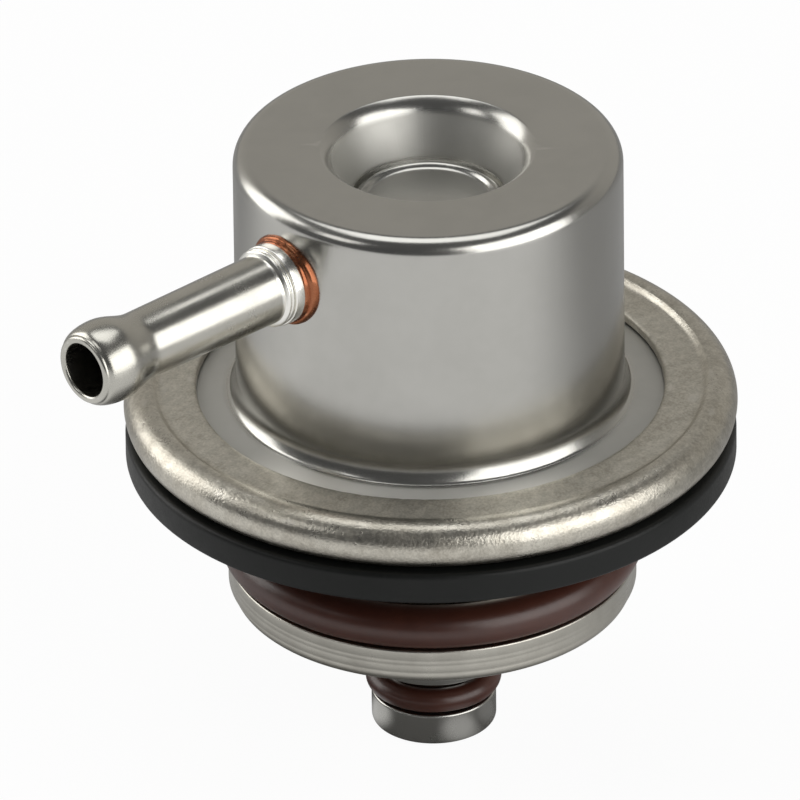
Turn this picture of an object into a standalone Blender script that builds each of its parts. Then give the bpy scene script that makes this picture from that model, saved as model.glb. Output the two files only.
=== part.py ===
# A diaphragm fuel pressure regulator that plugs into the end of a fuel rail.
# Metres, +Z up along the regulator's axis. The origin is on that axis at the seat plane, which is the
# underside of the black support ring, and the vacuum nipple points along +X.

import math

import bmesh
import bpy
from mathutils import Matrix

MM = 0.001

# Steps round the axis. Pieces that nest share a count, so that their facets stay parallel.
LARGE_STEPS = 32
SMALL_STEPS = 16

# Sheet thicknesses, and the gap left between pieces that are clamped or seated on each other
UPPER_SHEET = 1.0 * MM
LOWER_SHEET = 0.7 * MM
BASE_SHEET = 1.4 * MM
DIAPHRAGM_SHEET = 0.9 * MM
SEATED = 0.1 * MM

# The stack in the crimp, from the bottom up
CRIMP_BOTTOM = 2.65 * MM
LOWER_FLANGE_TOP = CRIMP_BOTTOM + LOWER_SHEET
DIAPHRAGM_BOTTOM = LOWER_FLANGE_TOP + SEATED
DIAPHRAGM_TOP = DIAPHRAGM_BOTTOM + DIAPHRAGM_SHEET
CAN_FLANGE_BOTTOM = DIAPHRAGM_TOP + SEATED
CAN_FLANGE_TOP = CAN_FLANGE_BOTTOM + UPPER_SHEET
LIP_BOTTOM = CAN_FLANGE_TOP + SEATED
LIP_TOP = LIP_BOTTOM + LOWER_SHEET

# Upper housing: a drawn can with a pressed dimple that sets the spring's preload
CAN_RADIUS = 15.2 * MM
CAN_TOP = 27.1 * MM
TOP_ROUNDING = 1.15 * MM
FLARE_START = 7.35 * MM
FLARE_RADIUS = 2.2 * MM
FLARE_SWEEP = 35.0
FLANGE_FILLET = 0.5 * MM
FLANGE_FLAT_RADIUS = 18.0 * MM
CAN_FLANGE_RADIUS = 22.7 * MM
BUTTON_RADIUS = 5.45 * MM
BUTTON_TOP = CAN_TOP - 4.1 * MM
BUTTON_ROUNDING = 0.35 * MM
GROOVE_BOTTOM = CAN_TOP - 4.55 * MM
GROOVE_INNER = 5.55 * MM
GROOVE_OUTER = 5.9 * MM
DIMPLE_RIM_RADIUS = 9.6 * MM
DIMPLE_ROUNDING = 2.0 * MM
DIMPLE_RIM_END = 155.0
DIMPLE_UNDERSIDE = GROOVE_BOTTOM - UPPER_SHEET
# The dimple's steep wall: radius and depth below the can's top, on both faces of the sheet
DIMPLE_WALL_OUTSIDE = ((6.1 * MM, 4.3 * MM), (6.9 * MM, 2.85 * MM))
DIMPLE_WALL_INSIDE = ((7.8 * MM, 3.3 * MM), (6.7 * MM, 5.2 * MM))

# Lower housing: the crimp rolled over the flanges, and the neck that carries the large O-ring
LIP_RADIUS = 18.3 * MM
BEAD_ROUNDING = 1.9 * MM
BEAD_CENTRE = (22.1 * MM, CRIMP_BOTTOM + BEAD_ROUNDING)
NECK_RADIUS = 13.25 * MM
NECK_FILLET = 1.0 * MM
NECK_FLANGE_RADIUS = 15.1 * MM
NECK_FLANGE_FILLET = 0.5 * MM

# Base cap: the hemmed collar and the bottom plate with the fuel inlets
COLLAR_RADIUS = 16.0 * MM
COLLAR_TOP = -8.95 * MM
COLLAR_LIP_RADIUS = 13.9 * MM
COLLAR_TOP_ROUNDING = 0.6 * MM
COLLAR_BOTTOM_ROUNDING = 0.8 * MM
COLLAR_LIP_BOTTOM = COLLAR_TOP - LOWER_SHEET
NECK_FLANGE_TOP = COLLAR_LIP_BOTTOM - SEATED
NECK_BOTTOM = NECK_FLANGE_TOP - LOWER_SHEET
PLATE_TOP = NECK_BOTTOM - SEATED
PLATE_BOTTOM = PLATE_TOP - BASE_SHEET
PLATE_BORE_RADIUS = 4.3 * MM
INLET_COUNT = 8
INLET_RADIUS = 1.5 * MM
INLET_CIRCLE_RADIUS = 9.3 * MM

# Inlet strainer, a perforated ring on the bottom plate
STRAINER_INNER = 6.2 * MM
STRAINER_OUTER = 12.3 * MM
STRAINER_SHEET = 0.4 * MM
STRAINER_RIM = 0.6 * MM
STRAINER_HEIGHT = 0.9 * MM

# Return tube with its O-ring groove and foot
TUBE_TOP = -4.0 * MM
TUBE_RADIUS = 3.9 * MM
TUBE_BORE = 2.7 * MM
SHOULDER_RADIUS = 5.6 * MM
SHOULDER_HEIGHT = 0.9 * MM
SWAGE_RADIUS = 5.0 * MM
SWAGE_HEIGHT = 0.9 * MM
COLLAR_ABOVE_GROOVE_RADIUS = 5.4 * MM
COLLAR_ABOVE_GROOVE_TOP = -16.9 * MM
GROOVE_TOP_Z = -18.3 * MM
GROOVE_FLOOR_RADIUS = 3.35 * MM
FOOT_TOP = -21.35 * MM
FOOT_RADIUS = 4.9 * MM
FOOT_BOTTOM = -24.0 * MM
FOOT_CHAMFER = 0.4 * MM

# Seals and the support ring under the crimp
LARGE_RING_MEAN = 15.05 * MM
LARGE_RING_SECTION = 1.7 * MM
LARGE_RING_Z = -7.2 * MM
SMALL_RING_MEAN = 4.4 * MM
SMALL_RING_SECTION = 0.95 * MM
SMALL_RING_Z = -20.2 * MM
SUPPORT_RADIUS = 23.9 * MM
SUPPORT_BORE = 13.7 * MM
SUPPORT_TOP = CRIMP_BOTTOM - SEATED
SUPPORT_ROUNDING = 0.5 * MM
SUPPORT_INNER_CHAMFER = 1.2 * MM

# Vacuum nipple, measured along +X from the regulator's axis
NIPPLE_Z = 21.25 * MM
NIPPLE_INNER_END = 13.4 * MM
NIPPLE_TIP = 35.9 * MM
NIPPLE_ROOT_RADIUS = 2.8 * MM
NIPPLE_NECK_RADIUS = 2.68 * MM
NIPPLE_NECK_X = 30.1 * MM
NIPPLE_BEAD_RADIUS = 3.35 * MM
NIPPLE_BEAD_X = 33.5 * MM
NIPPLE_MOUTH_RADIUS = 2.45 * MM
NIPPLE_MOUTH_ROUNDING = 0.3 * MM
NIPPLE_BORE = 2.15 * MM
NIPPLE_COLLAR_RADIUS = 3.23 * MM
NIPPLE_COLLAR_VALLEY = 3.0 * MM
NIPPLE_COLLAR_SLOPE = 0.15 * MM
NIPPLE_COLLAR_X = 15.85 * MM
NIPPLE_COLLAR_LENGTH = 1.25 * MM
NIPPLE_HOLE_RADIUS = 2.95 * MM
BRAZE_RADIUS = 3.7 * MM
BRAZE_END = 15.75 * MM
BRAZE_EDGE = 0.35 * MM
BRAZE_BORE = 2.9 * MM
BRAZE_DEPTH = 0.4 * MM
BRAZE_SEAT_RADIUS = CAN_RADIUS + SEATED

# Main spring with its two seats
SPRING_WIRE = 2.0 * MM
SPRING_MEAN = 8.9 * MM
SPRING_TURNS = 5.0
SPRING_END_TURNS = 0.75
SEAT_RADIUS = 10.6 * MM
SEAT_HUB_OUTER = 7.4 * MM
SEAT_HUB_INNER = 6.3 * MM
SEAT_HUB_HEIGHT = 1.1 * MM
CAP_TOP = DIMPLE_UNDERSIDE - SEATED
CAP_BOTTOM = CAP_TOP - UPPER_SHEET
PLATE_SEAT_BOTTOM = DIAPHRAGM_TOP + SEATED
PLATE_SEAT_TOP = PLATE_SEAT_BOTTOM + 0.9 * MM

# Diaphragm and the washer under it
DIAPHRAGM_RADIUS = 22.4 * MM
CONVOLUTION_MEAN = 12.8 * MM
CONVOLUTION_OUTER = 1.8 * MM
STEM_HOLE_RADIUS = 2.65 * MM
WASHER_RADIUS = 10.4 * MM
WASHER_TOP = DIAPHRAGM_BOTTOM - SEATED
WASHER_BOTTOM = WASHER_TOP - 0.8 * MM

# Valve: a ground ball in a riveted holder, over a seat pressed into the return tube
BALL_RADIUS = 3.0 * MM
BALL_Z = -0.9 * MM
BALL_FLAT_Z = -3.1 * MM
HOLDER_RADIUS = 4.4 * MM
HOLDER_BOTTOM = -2.9 * MM
HOLDER_FLANGE_RADIUS = 5.6 * MM
HOLDER_FLANGE_HEIGHT = 0.9 * MM
HOLDER_TOP = WASHER_BOTTOM - SEATED
STEM_RADIUS = 2.5 * MM
HEAD_RADIUS = 3.4 * MM
HEAD_BOTTOM = PLATE_SEAT_TOP + SEATED
HEAD_HEIGHT = 0.8 * MM
SOCKET_RADIUS = 3.15 * MM
SOCKET_BOTTOM = -2.0 * MM
RETAINER_POCKET_RADIUS = 3.6 * MM
BALL_SPRING_BORE = 1.5 * MM
BALL_SPRING_TOP = 4.4 * MM
BALL_SPRING_WIRE = 0.5 * MM
BALL_SPRING_MEAN = 1.05 * MM
BALL_SPRING_TURNS = 2.5
RETAINER_RADIUS = 3.5 * MM
RETAINER_TOP = SOCKET_BOTTOM - SEATED
RETAINER_BOTTOM = HOLDER_BOTTOM + SEATED
RETAINER_BORE_TOP = 2.9 * MM
RETAINER_BORE_BOTTOM = 2.55 * MM
VALVE_SEAT_TOP = -3.25 * MM
VALVE_SEAT_RADIUS = 3.3 * MM
VALVE_SEAT_SPIGOT = 2.6 * MM
VALVE_SEAT_BOTTOM = -5.3 * MM
ORIFICE_RADIUS = 1.2 * MM
ORIFICE_EXIT_RADIUS = 2.0 * MM
ORIFICE_LENGTH = 0.95 * MM


def clear_scene():
    for obj in list(bpy.data.objects):
        bpy.data.objects.remove(obj)


def new_collection(name):
    collection = bpy.data.collections.new(name)
    bpy.context.scene.collection.children.link(collection)
    return collection


def material(name, colour, roughness, metallic):
    """A plain Principled material with the part's own colour and finish."""
    made = bpy.data.materials.new(name)
    made.use_nodes = True
    shader = made.node_tree.nodes["Principled BSDF"]
    shader.inputs["Base Color"].default_value = (*colour, 1.0)
    shader.inputs["Roughness"].default_value = roughness
    shader.inputs["Metallic"].default_value = metallic
    made.diffuse_color = (*colour, 1.0)
    return made


def arc(centre, radius, start, end, steps):
    """Points of a profile's round stretch, from start to end degrees."""
    angles = [math.radians(start + (end - start) * i / steps) for i in range(steps + 1)]
    return [(centre[0] + radius * math.cos(a), centre[1] + radius * math.sin(a)) for a in angles]


def rise_angle(height, radius):
    """Degrees above the horizontal at which a circle of this radius reaches the height."""
    return math.degrees(math.asin(height / radius))


def linked(obj, collection, finish):
    collection.objects.link(obj)
    if finish:
        obj.data.materials.append(finish)
    return obj


def evaluated_mesh(obj):
    """The object's mesh with its modifiers applied."""
    bpy.context.view_layer.update()
    graph = bpy.context.evaluated_depsgraph_get()
    return bpy.data.meshes.new_from_object(obj.evaluated_get(graph))


def shade(obj, angle=40):
    obj.data.shade_smooth()
    obj.data.set_sharp_from_angle(angle=math.radians(angle))


def turned(name, profile, finish, collection, steps=LARGE_STEPS):
    """A solid of revolution about local Z, from a profile that runs down its outer side.

    A profile that starts and ends on the axis is left open, and any other is closed into a loop.
    """
    links = [(i, i + 1) for i in range(len(profile) - 1)]
    if profile[0][0] > 0:
        links.append((len(profile) - 1, 0))
    mesh = bpy.data.meshes.new(name)
    mesh.from_pydata([(r, 0.0, z) for r, z in profile], links, [])
    obj = linked(bpy.data.objects.new(name, mesh), collection, finish)
    screw = obj.modifiers.new("Revolve", "SCREW")
    screw.axis = "Z"
    screw.angle = math.tau
    screw.steps = screw.render_steps = steps
    screw.use_merge_vertices = True
    screw.merge_threshold = 1e-6
    obj.data = evaluated_mesh(obj)
    obj.modifiers.clear()
    shade(obj)
    return obj


def cut(obj, cutter):
    """Takes the cutter out of the object with a live Boolean."""
    boolean = obj.modifiers.new("Cut " + cutter.name, "BOOLEAN")
    boolean.operation = "DIFFERENCE"
    boolean.solver = "EXACT"
    boolean.object = cutter
    cutter.hide_render = True
    cutter.display_type = "WIRE"


def coil(name, mean_radius, wire, turns, end_turns, bottom, top, finish, collection, per_turn=14):
    """A round-wire compression spring: closed end turns, and an even pitch between them."""
    closed_pitch = wire * 1.08
    open_turns = turns - 2 * end_turns
    open_pitch = (top - bottom - 2 * end_turns * closed_pitch) / open_turns
    curve = bpy.data.curves.new(name, "CURVE")
    curve.dimensions = "3D"
    curve.bevel_depth = wire / 2
    curve.bevel_resolution = 2
    curve.use_fill_caps = True
    count = round(turns * per_turn) + 1
    spline = curve.splines.new("POLY")
    spline.points.add(count - 1)
    for i, point in enumerate(spline.points):
        t = turns * i / (count - 1)
        lower = min(t, end_turns)
        middle = min(max(t - end_turns, 0.0), open_turns)
        upper = max(t - end_turns - open_turns, 0.0)
        z = bottom + (lower + upper) * closed_pitch + middle * open_pitch
        angle = math.tau * t
        point.co = (mean_radius * math.cos(angle), mean_radius * math.sin(angle), z, 1.0)
    return linked(bpy.data.objects.new(name, curve), collection, finish)


def o_ring(name, mean_radius, section, z, steps, finish, collection):
    """A torus primitive, moved from the scene's collection to the object's."""
    bpy.ops.mesh.primitive_torus_add(
        major_segments=steps,
        minor_segments=10,
        major_radius=mean_radius,
        minor_radius=section,
        location=(0.0, 0.0, z),
    )
    obj = bpy.context.object
    obj.name = name
    for holder in list(obj.users_collection):
        holder.objects.unlink(obj)
    linked(obj, collection, finish)
    obj.data.shade_smooth()
    return obj


def round_bars(name, radius, length, places, sides, collection):
    """A cutter of one or more upright bars, each centred on its place."""
    mesh = bpy.data.meshes.new(name)
    bm = bmesh.new()
    for place in places:
        bmesh.ops.create_cone(
            bm,
            cap_ends=True,
            segments=sides,
            radius1=radius,
            radius2=radius,
            depth=length,
            matrix=Matrix.Translation(place),
        )
    bm.to_mesh(mesh)
    bm.free()
    return linked(bpy.data.objects.new(name, mesh), collection, None)


def upper_housing(finish, parts, cutters):
    """The drawn can: dimple, top, wall, flared foot and the flange held in the crimp."""
    flare_centre = (CAN_RADIUS + FLARE_RADIUS, FLARE_START)
    flare_end = 180 + FLARE_SWEEP
    fillet_centre = arc(flare_centre, FLARE_RADIUS - FLANGE_FILLET, flare_end, flare_end, 1)[0]
    top_centre = (CAN_RADIUS - TOP_ROUNDING, CAN_TOP - TOP_ROUNDING)
    rim_centre = (DIMPLE_RIM_RADIUS, CAN_TOP - DIMPLE_ROUNDING)
    button_centre = (BUTTON_RADIUS - BUTTON_ROUNDING, BUTTON_TOP - BUTTON_ROUNDING)

    outside = [(0.0, BUTTON_TOP)]
    outside += arc(button_centre, BUTTON_ROUNDING, 90, 0, 2)
    outside += [(GROOVE_INNER, GROOVE_BOTTOM), (GROOVE_OUTER, GROOVE_BOTTOM)]
    outside += [(radius, CAN_TOP - depth) for radius, depth in DIMPLE_WALL_OUTSIDE]
    outside += arc(rim_centre, DIMPLE_ROUNDING, DIMPLE_RIM_END, 90, 4)
    outside += arc(top_centre, TOP_ROUNDING, 90, 0, 3)
    outside += arc(flare_centre, FLARE_RADIUS, 180, flare_end, 3)
    outside += arc(fillet_centre, FLANGE_FILLET, flare_end, 270, 3)[1:]
    outside += [(FLANGE_FLAT_RADIUS, CAN_FLANGE_TOP), (CAN_FLANGE_RADIUS, CAN_FLANGE_TOP)]

    inside = [(CAN_FLANGE_RADIUS, CAN_FLANGE_BOTTOM), (FLANGE_FLAT_RADIUS, CAN_FLANGE_BOTTOM)]
    inside += arc(fillet_centre, FLANGE_FILLET + UPPER_SHEET, 270, flare_end, 3)
    inside += arc(flare_centre, FLARE_RADIUS + UPPER_SHEET, flare_end, 180, 3)[1:]
    inside += arc(top_centre, TOP_ROUNDING - UPPER_SHEET, 0, 90, 1)
    inside += arc(rim_centre, DIMPLE_ROUNDING - UPPER_SHEET, 90, DIMPLE_RIM_END, 2)
    inside += [(radius, CAN_TOP - depth) for radius, depth in DIMPLE_WALL_INSIDE]
    inside += [(GROOVE_OUTER, DIMPLE_UNDERSIDE), (0.0, DIMPLE_UNDERSIDE)]

    can = turned("upper_housing", outside + inside, finish, parts)
    hole = round_bars("nipple_hole", NIPPLE_HOLE_RADIUS, 6 * MM, [(0, 0, 0)], SMALL_STEPS, cutters)
    hole.rotation_euler = (0.0, math.radians(90), 0.0)
    hole.location = (CAN_RADIUS, 0.0, NIPPLE_Z)
    cut(can, hole)
    return can


def lower_housing(finish, parts):
    """One drawn piece: the rolled crimp, the flange under the diaphragm, the neck and its foot flange."""
    bead_inner = BEAD_ROUNDING - LOWER_SHEET
    lip_outer_angle = 180 - rise_angle(LIP_TOP - BEAD_CENTRE[1], BEAD_ROUNDING)
    lip_inner_angle = 180 - rise_angle(LIP_BOTTOM - BEAD_CENTRE[1], bead_inner)
    neck_centre = (NECK_RADIUS + NECK_FILLET, CRIMP_BOTTOM - NECK_FILLET)
    foot_centre = (NECK_RADIUS + NECK_FLANGE_FILLET, NECK_FLANGE_TOP + NECK_FLANGE_FILLET)

    outside = [(LIP_RADIUS, LIP_TOP)]
    outside += arc(BEAD_CENTRE, BEAD_ROUNDING, lip_outer_angle, -90, 10)
    outside += arc(neck_centre, NECK_FILLET, 90, 180, 2)
    outside += arc(foot_centre, NECK_FLANGE_FILLET, 180, 270, 2)
    outside += [(NECK_FLANGE_RADIUS, NECK_FLANGE_TOP)]

    inside = [(NECK_FLANGE_RADIUS, NECK_BOTTOM)]
    inside += arc(foot_centre, NECK_FLANGE_FILLET + LOWER_SHEET, 270, 180, 3)
    inside += arc(neck_centre, NECK_FILLET + LOWER_SHEET, 180, 90, 3)
    inside += arc(BEAD_CENTRE, bead_inner, -90, lip_inner_angle, 6)
    inside += [(LIP_RADIUS, LIP_BOTTOM)]
    return turned("lower_housing", outside + inside, finish, parts)


def support_ring(finish, parts):
    """The black ring between the crimp and the rail's face."""
    edge = (SUPPORT_RADIUS - SUPPORT_ROUNDING, SUPPORT_TOP - SUPPORT_ROUNDING)
    chamfer = 0.4 * MM
    profile = arc(edge, SUPPORT_ROUNDING, 90, 0, 3)
    profile += [(SUPPORT_RADIUS, chamfer), (SUPPORT_RADIUS - chamfer, 0.0), (SUPPORT_BORE, 0.0)]
    profile += [(SUPPORT_BORE, SUPPORT_TOP - SUPPORT_INNER_CHAMFER)]
    profile += [(SUPPORT_BORE + SUPPORT_INNER_CHAMFER, SUPPORT_TOP)]
    return turned("support_ring", profile, finish, parts)


def base_cap(finish, parts, cutters):
    """The collar hemmed over the neck's foot flange, and the bottom plate with its inlet holes."""
    top = (COLLAR_RADIUS - COLLAR_TOP_ROUNDING, COLLAR_TOP - COLLAR_TOP_ROUNDING)
    bottom = (COLLAR_RADIUS - COLLAR_BOTTOM_ROUNDING, PLATE_BOTTOM + COLLAR_BOTTOM_ROUNDING)
    inner_wall = COLLAR_RADIUS - LOWER_SHEET
    profile = [(COLLAR_LIP_RADIUS, COLLAR_TOP)]
    profile += arc(top, COLLAR_TOP_ROUNDING, 90, 0, 3)
    profile += arc(bottom, COLLAR_BOTTOM_ROUNDING, 0, -90, 3)
    profile += [(PLATE_BORE_RADIUS, PLATE_BOTTOM), (PLATE_BORE_RADIUS, PLATE_TOP)]
    profile += [(inner_wall, PLATE_TOP), (inner_wall, COLLAR_LIP_BOTTOM)]
    profile += [(COLLAR_LIP_RADIUS, COLLAR_LIP_BOTTOM)]
    cap = turned("base_cap", profile, finish, parts)
    places = []
    for i in range(INLET_COUNT):
        angle = math.tau * (i + 0.5) / INLET_COUNT
        x, y = INLET_CIRCLE_RADIUS * math.cos(angle), INLET_CIRCLE_RADIUS * math.sin(angle)
        places.append((x, y, (PLATE_TOP + PLATE_BOTTOM) / 2))
    cut(cap, round_bars("inlet_holes", INLET_RADIUS, 3 * MM, places, 12, cutters))
    return cap


def inlet_strainer(finish, parts):
    """A thin ring with raised rims, which holds the strainer's mesh over the inlet holes."""
    bottom = PLATE_TOP + SEATED
    web = bottom + STRAINER_SHEET
    top = bottom + STRAINER_HEIGHT
    profile = [(STRAINER_OUTER, top), (STRAINER_OUTER, bottom), (STRAINER_INNER, bottom)]
    profile += [(STRAINER_INNER, top), (STRAINER_INNER + STRAINER_RIM, top)]
    profile += [(STRAINER_INNER + STRAINER_RIM, web), (STRAINER_OUTER - STRAINER_RIM, web)]
    profile += [(STRAINER_OUTER - STRAINER_RIM, top)]
    return turned("inlet_strainer", profile, finish, parts)


def return_tube(finish, parts):
    """The outlet tube: a shoulder and a swage hold the plate, then the O-ring groove and the foot."""
    shoulder_bottom = PLATE_TOP + SEATED
    swage_top = PLATE_BOTTOM - SEATED
    profile = [(TUBE_BORE, TUBE_TOP), (TUBE_RADIUS, TUBE_TOP)]
    profile += [(TUBE_RADIUS, shoulder_bottom + SHOULDER_HEIGHT)]
    profile += [(SHOULDER_RADIUS, shoulder_bottom + SHOULDER_HEIGHT), (SHOULDER_RADIUS, shoulder_bottom)]
    profile += [(TUBE_RADIUS, shoulder_bottom), (TUBE_RADIUS, swage_top), (SWAGE_RADIUS, swage_top)]
    profile += [(SWAGE_RADIUS, swage_top - SWAGE_HEIGHT / 2), (TUBE_RADIUS, swage_top - SWAGE_HEIGHT)]
    profile += [(TUBE_RADIUS, COLLAR_ABOVE_GROOVE_TOP)]
    profile += [(COLLAR_ABOVE_GROOVE_RADIUS, COLLAR_ABOVE_GROOVE_TOP)]
    profile += [(COLLAR_ABOVE_GROOVE_RADIUS, GROOVE_TOP_Z), (GROOVE_FLOOR_RADIUS, GROOVE_TOP_Z)]
    profile += [(GROOVE_FLOOR_RADIUS, FOOT_TOP), (FOOT_RADIUS, FOOT_TOP)]
    profile += [(FOOT_RADIUS, FOOT_BOTTOM + FOOT_CHAMFER), (FOOT_RADIUS - FOOT_CHAMFER, FOOT_BOTTOM)]
    profile += [(TUBE_BORE, FOOT_BOTTOM)]
    return turned("return_tube", profile, finish, parts, SMALL_STEPS)


def placed_on_nipple_axis(obj):
    """Turns a piece modelled about local Z so that its axis lies along +X at the nipple's height."""
    obj.rotation_euler = (0.0, math.radians(90), 0.0)
    obj.location = (0.0, 0.0, NIPPLE_Z)
    return obj


def vacuum_nipple(finish, parts):
    """The hose nipple: olive bead at the tip, a slightly tapered tube, a two-ridge collar and a bore."""
    mouth_rounding = NIPPLE_MOUTH_ROUNDING
    slope = NIPPLE_COLLAR_SLOPE
    collar_end = NIPPLE_COLLAR_X + NIPPLE_COLLAR_LENGTH
    collar_middle = NIPPLE_COLLAR_X + NIPPLE_COLLAR_LENGTH / 2
    profile = [(NIPPLE_MOUTH_RADIUS, NIPPLE_TIP)]
    profile += [(NIPPLE_MOUTH_RADIUS + mouth_rounding, NIPPLE_TIP - mouth_rounding)]
    front = NIPPLE_TIP - mouth_rounding - NIPPLE_BEAD_X
    rise = NIPPLE_BEAD_RADIUS - NIPPLE_MOUTH_RADIUS - mouth_rounding
    for i in (1, 2, 3):
        angle = math.radians(90 * i / 3)
        radius = NIPPLE_BEAD_RADIUS - rise * (1 - math.sin(angle))
        profile.append((radius, NIPPLE_BEAD_X + front * math.cos(angle)))
    for i in (1, 2, 3, 4):
        share = i / 4
        fall = (1 - math.cos(math.pi * share)) / 2
        radius = NIPPLE_BEAD_RADIUS - (NIPPLE_BEAD_RADIUS - NIPPLE_NECK_RADIUS) * fall
        profile.append((radius, NIPPLE_BEAD_X - (NIPPLE_BEAD_X - NIPPLE_NECK_X) * share))
    profile += [(NIPPLE_ROOT_RADIUS, collar_end + slope), (NIPPLE_COLLAR_RADIUS, collar_end)]
    profile += [(NIPPLE_COLLAR_RADIUS, collar_middle + slope), (NIPPLE_COLLAR_VALLEY, collar_middle)]
    profile += [(NIPPLE_COLLAR_RADIUS, collar_middle - slope), (NIPPLE_COLLAR_RADIUS, NIPPLE_COLLAR_X)]
    profile += [(NIPPLE_ROOT_RADIUS, NIPPLE_COLLAR_X), (NIPPLE_ROOT_RADIUS, NIPPLE_INNER_END)]
    profile += [(NIPPLE_BORE, NIPPLE_INNER_END), (NIPPLE_BORE, NIPPLE_TIP)]
    return placed_on_nipple_axis(turned("vacuum_nipple", profile, finish, parts, SMALL_STEPS))


def braze_ring(finish, parts, cutters):
    """The copper fillet round the nipple's root, saddled to the can's wall."""
    inner_end = NIPPLE_INNER_END + BRAZE_DEPTH
    profile = [(BRAZE_BORE, BRAZE_END)]
    profile += arc((BRAZE_RADIUS - BRAZE_EDGE, BRAZE_END - BRAZE_EDGE), BRAZE_EDGE, 90, 0, 2)
    profile += [(BRAZE_RADIUS, inner_end), (BRAZE_BORE, inner_end)]
    ring = placed_on_nipple_axis(turned("braze_ring", profile, finish, parts, SMALL_STEPS))
    wall = [(0.0, CAN_TOP), (BRAZE_SEAT_RADIUS, CAN_TOP), (BRAZE_SEAT_RADIUS, 0.0), (0.0, 0.0)]
    cut(ring, turned("can_wall", wall, None, cutters, LARGE_STEPS * 2))
    return ring


def spring_cap(finish, parts):
    """The upper spring seat, pressed down by the dimple, with a rib that centres the spring."""
    rib_bottom = CAP_BOTTOM - SEAT_HUB_HEIGHT
    profile = [(0.0, CAP_TOP), (SEAT_RADIUS, CAP_TOP), (SEAT_RADIUS, CAP_BOTTOM)]
    profile += [(SEAT_HUB_OUTER, CAP_BOTTOM), (SEAT_HUB_OUTER, rib_bottom)]
    profile += [(SEAT_HUB_INNER, rib_bottom), (SEAT_HUB_INNER, CAP_BOTTOM), (0.0, CAP_BOTTOM)]
    return turned("spring_cap", profile, finish, parts)


def spring_plate(finish, parts):
    """The lower spring seat, riveted to the diaphragm by the valve holder's head."""
    rib_top = PLATE_SEAT_TOP + SEAT_HUB_HEIGHT
    profile = [(SEAT_HUB_INNER, rib_top), (SEAT_HUB_OUTER, rib_top), (SEAT_HUB_OUTER, PLATE_SEAT_TOP)]
    profile += [(SEAT_RADIUS, PLATE_SEAT_TOP), (SEAT_RADIUS, PLATE_SEAT_BOTTOM)]
    profile += [(STEM_HOLE_RADIUS, PLATE_SEAT_BOTTOM), (STEM_HOLE_RADIUS, PLATE_SEAT_TOP)]
    profile += [(SEAT_HUB_INNER, PLATE_SEAT_TOP)]
    return turned("spring_plate", profile, finish, parts)


def diaphragm(finish, parts):
    """Rubberised cloth with one rolled convolution between the plates and the crimp."""
    centre = (CONVOLUTION_MEAN, DIAPHRAGM_BOTTOM)
    inner = CONVOLUTION_OUTER - DIAPHRAGM_SHEET
    foot = rise_angle(DIAPHRAGM_SHEET, CONVOLUTION_OUTER)
    profile = [(DIAPHRAGM_RADIUS, DIAPHRAGM_TOP), (DIAPHRAGM_RADIUS, DIAPHRAGM_BOTTOM)]
    profile += arc(centre, inner, 0, 180, 5)
    profile += [(STEM_HOLE_RADIUS, DIAPHRAGM_BOTTOM), (STEM_HOLE_RADIUS, DIAPHRAGM_TOP)]
    profile += arc(centre, CONVOLUTION_OUTER, 180 - foot, foot, 5)
    return turned("diaphragm", profile, finish, parts)


def diaphragm_washer(finish, parts):
    """The plate that clamps the diaphragm from below, its edge turned away from the cloth."""
    edge = 0.4 * MM
    profile = [(WASHER_RADIUS - edge, WASHER_TOP), (WASHER_RADIUS, WASHER_TOP - edge)]
    profile += [(WASHER_RADIUS, WASHER_BOTTOM), (STEM_HOLE_RADIUS, WASHER_BOTTOM)]
    profile += [(STEM_HOLE_RADIUS, WASHER_TOP)]
    return turned("diaphragm_washer", profile, finish, parts)


def valve_holder(finish, parts):
    """The riveted holder: head, stem, flange, and the socket that the ball swivels in."""
    ball_centre = (0.0, BALL_Z)
    bore_angle = math.degrees(math.acos(BALL_SPRING_BORE / SOCKET_RADIUS))
    head_top = HEAD_BOTTOM + HEAD_HEIGHT
    edge = 0.3 * MM
    profile = [(0.0, head_top), (HEAD_RADIUS - edge, head_top), (HEAD_RADIUS, head_top - edge)]
    profile += [(HEAD_RADIUS, HEAD_BOTTOM), (STEM_RADIUS, HEAD_BOTTOM), (STEM_RADIUS, HOLDER_TOP)]
    profile += [(HOLDER_FLANGE_RADIUS, HOLDER_TOP)]
    profile += [(HOLDER_FLANGE_RADIUS, HOLDER_TOP - HOLDER_FLANGE_HEIGHT)]
    profile += [(HOLDER_RADIUS, HOLDER_TOP - HOLDER_FLANGE_HEIGHT), (HOLDER_RADIUS, HOLDER_BOTTOM)]
    profile += [(RETAINER_POCKET_RADIUS, HOLDER_BOTTOM), (RETAINER_POCKET_RADIUS, SOCKET_BOTTOM)]
    profile += [(SOCKET_RADIUS, SOCKET_BOTTOM)]
    profile += arc(ball_centre, SOCKET_RADIUS, 0, bore_angle, 5)
    profile += [(BALL_SPRING_BORE, BALL_SPRING_TOP), (0.0, BALL_SPRING_TOP)]
    return turned("valve_holder", profile, finish, parts, SMALL_STEPS)


def ball_retainer(finish, parts):
    """The ring that keeps the ball in its socket."""
    profile = [(RETAINER_BORE_TOP, RETAINER_TOP), (RETAINER_RADIUS, RETAINER_TOP)]
    profile += [(RETAINER_RADIUS, RETAINER_BOTTOM), (RETAINER_BORE_BOTTOM, RETAINER_BOTTOM)]
    return turned("ball_retainer", profile, finish, parts, SMALL_STEPS)


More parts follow.
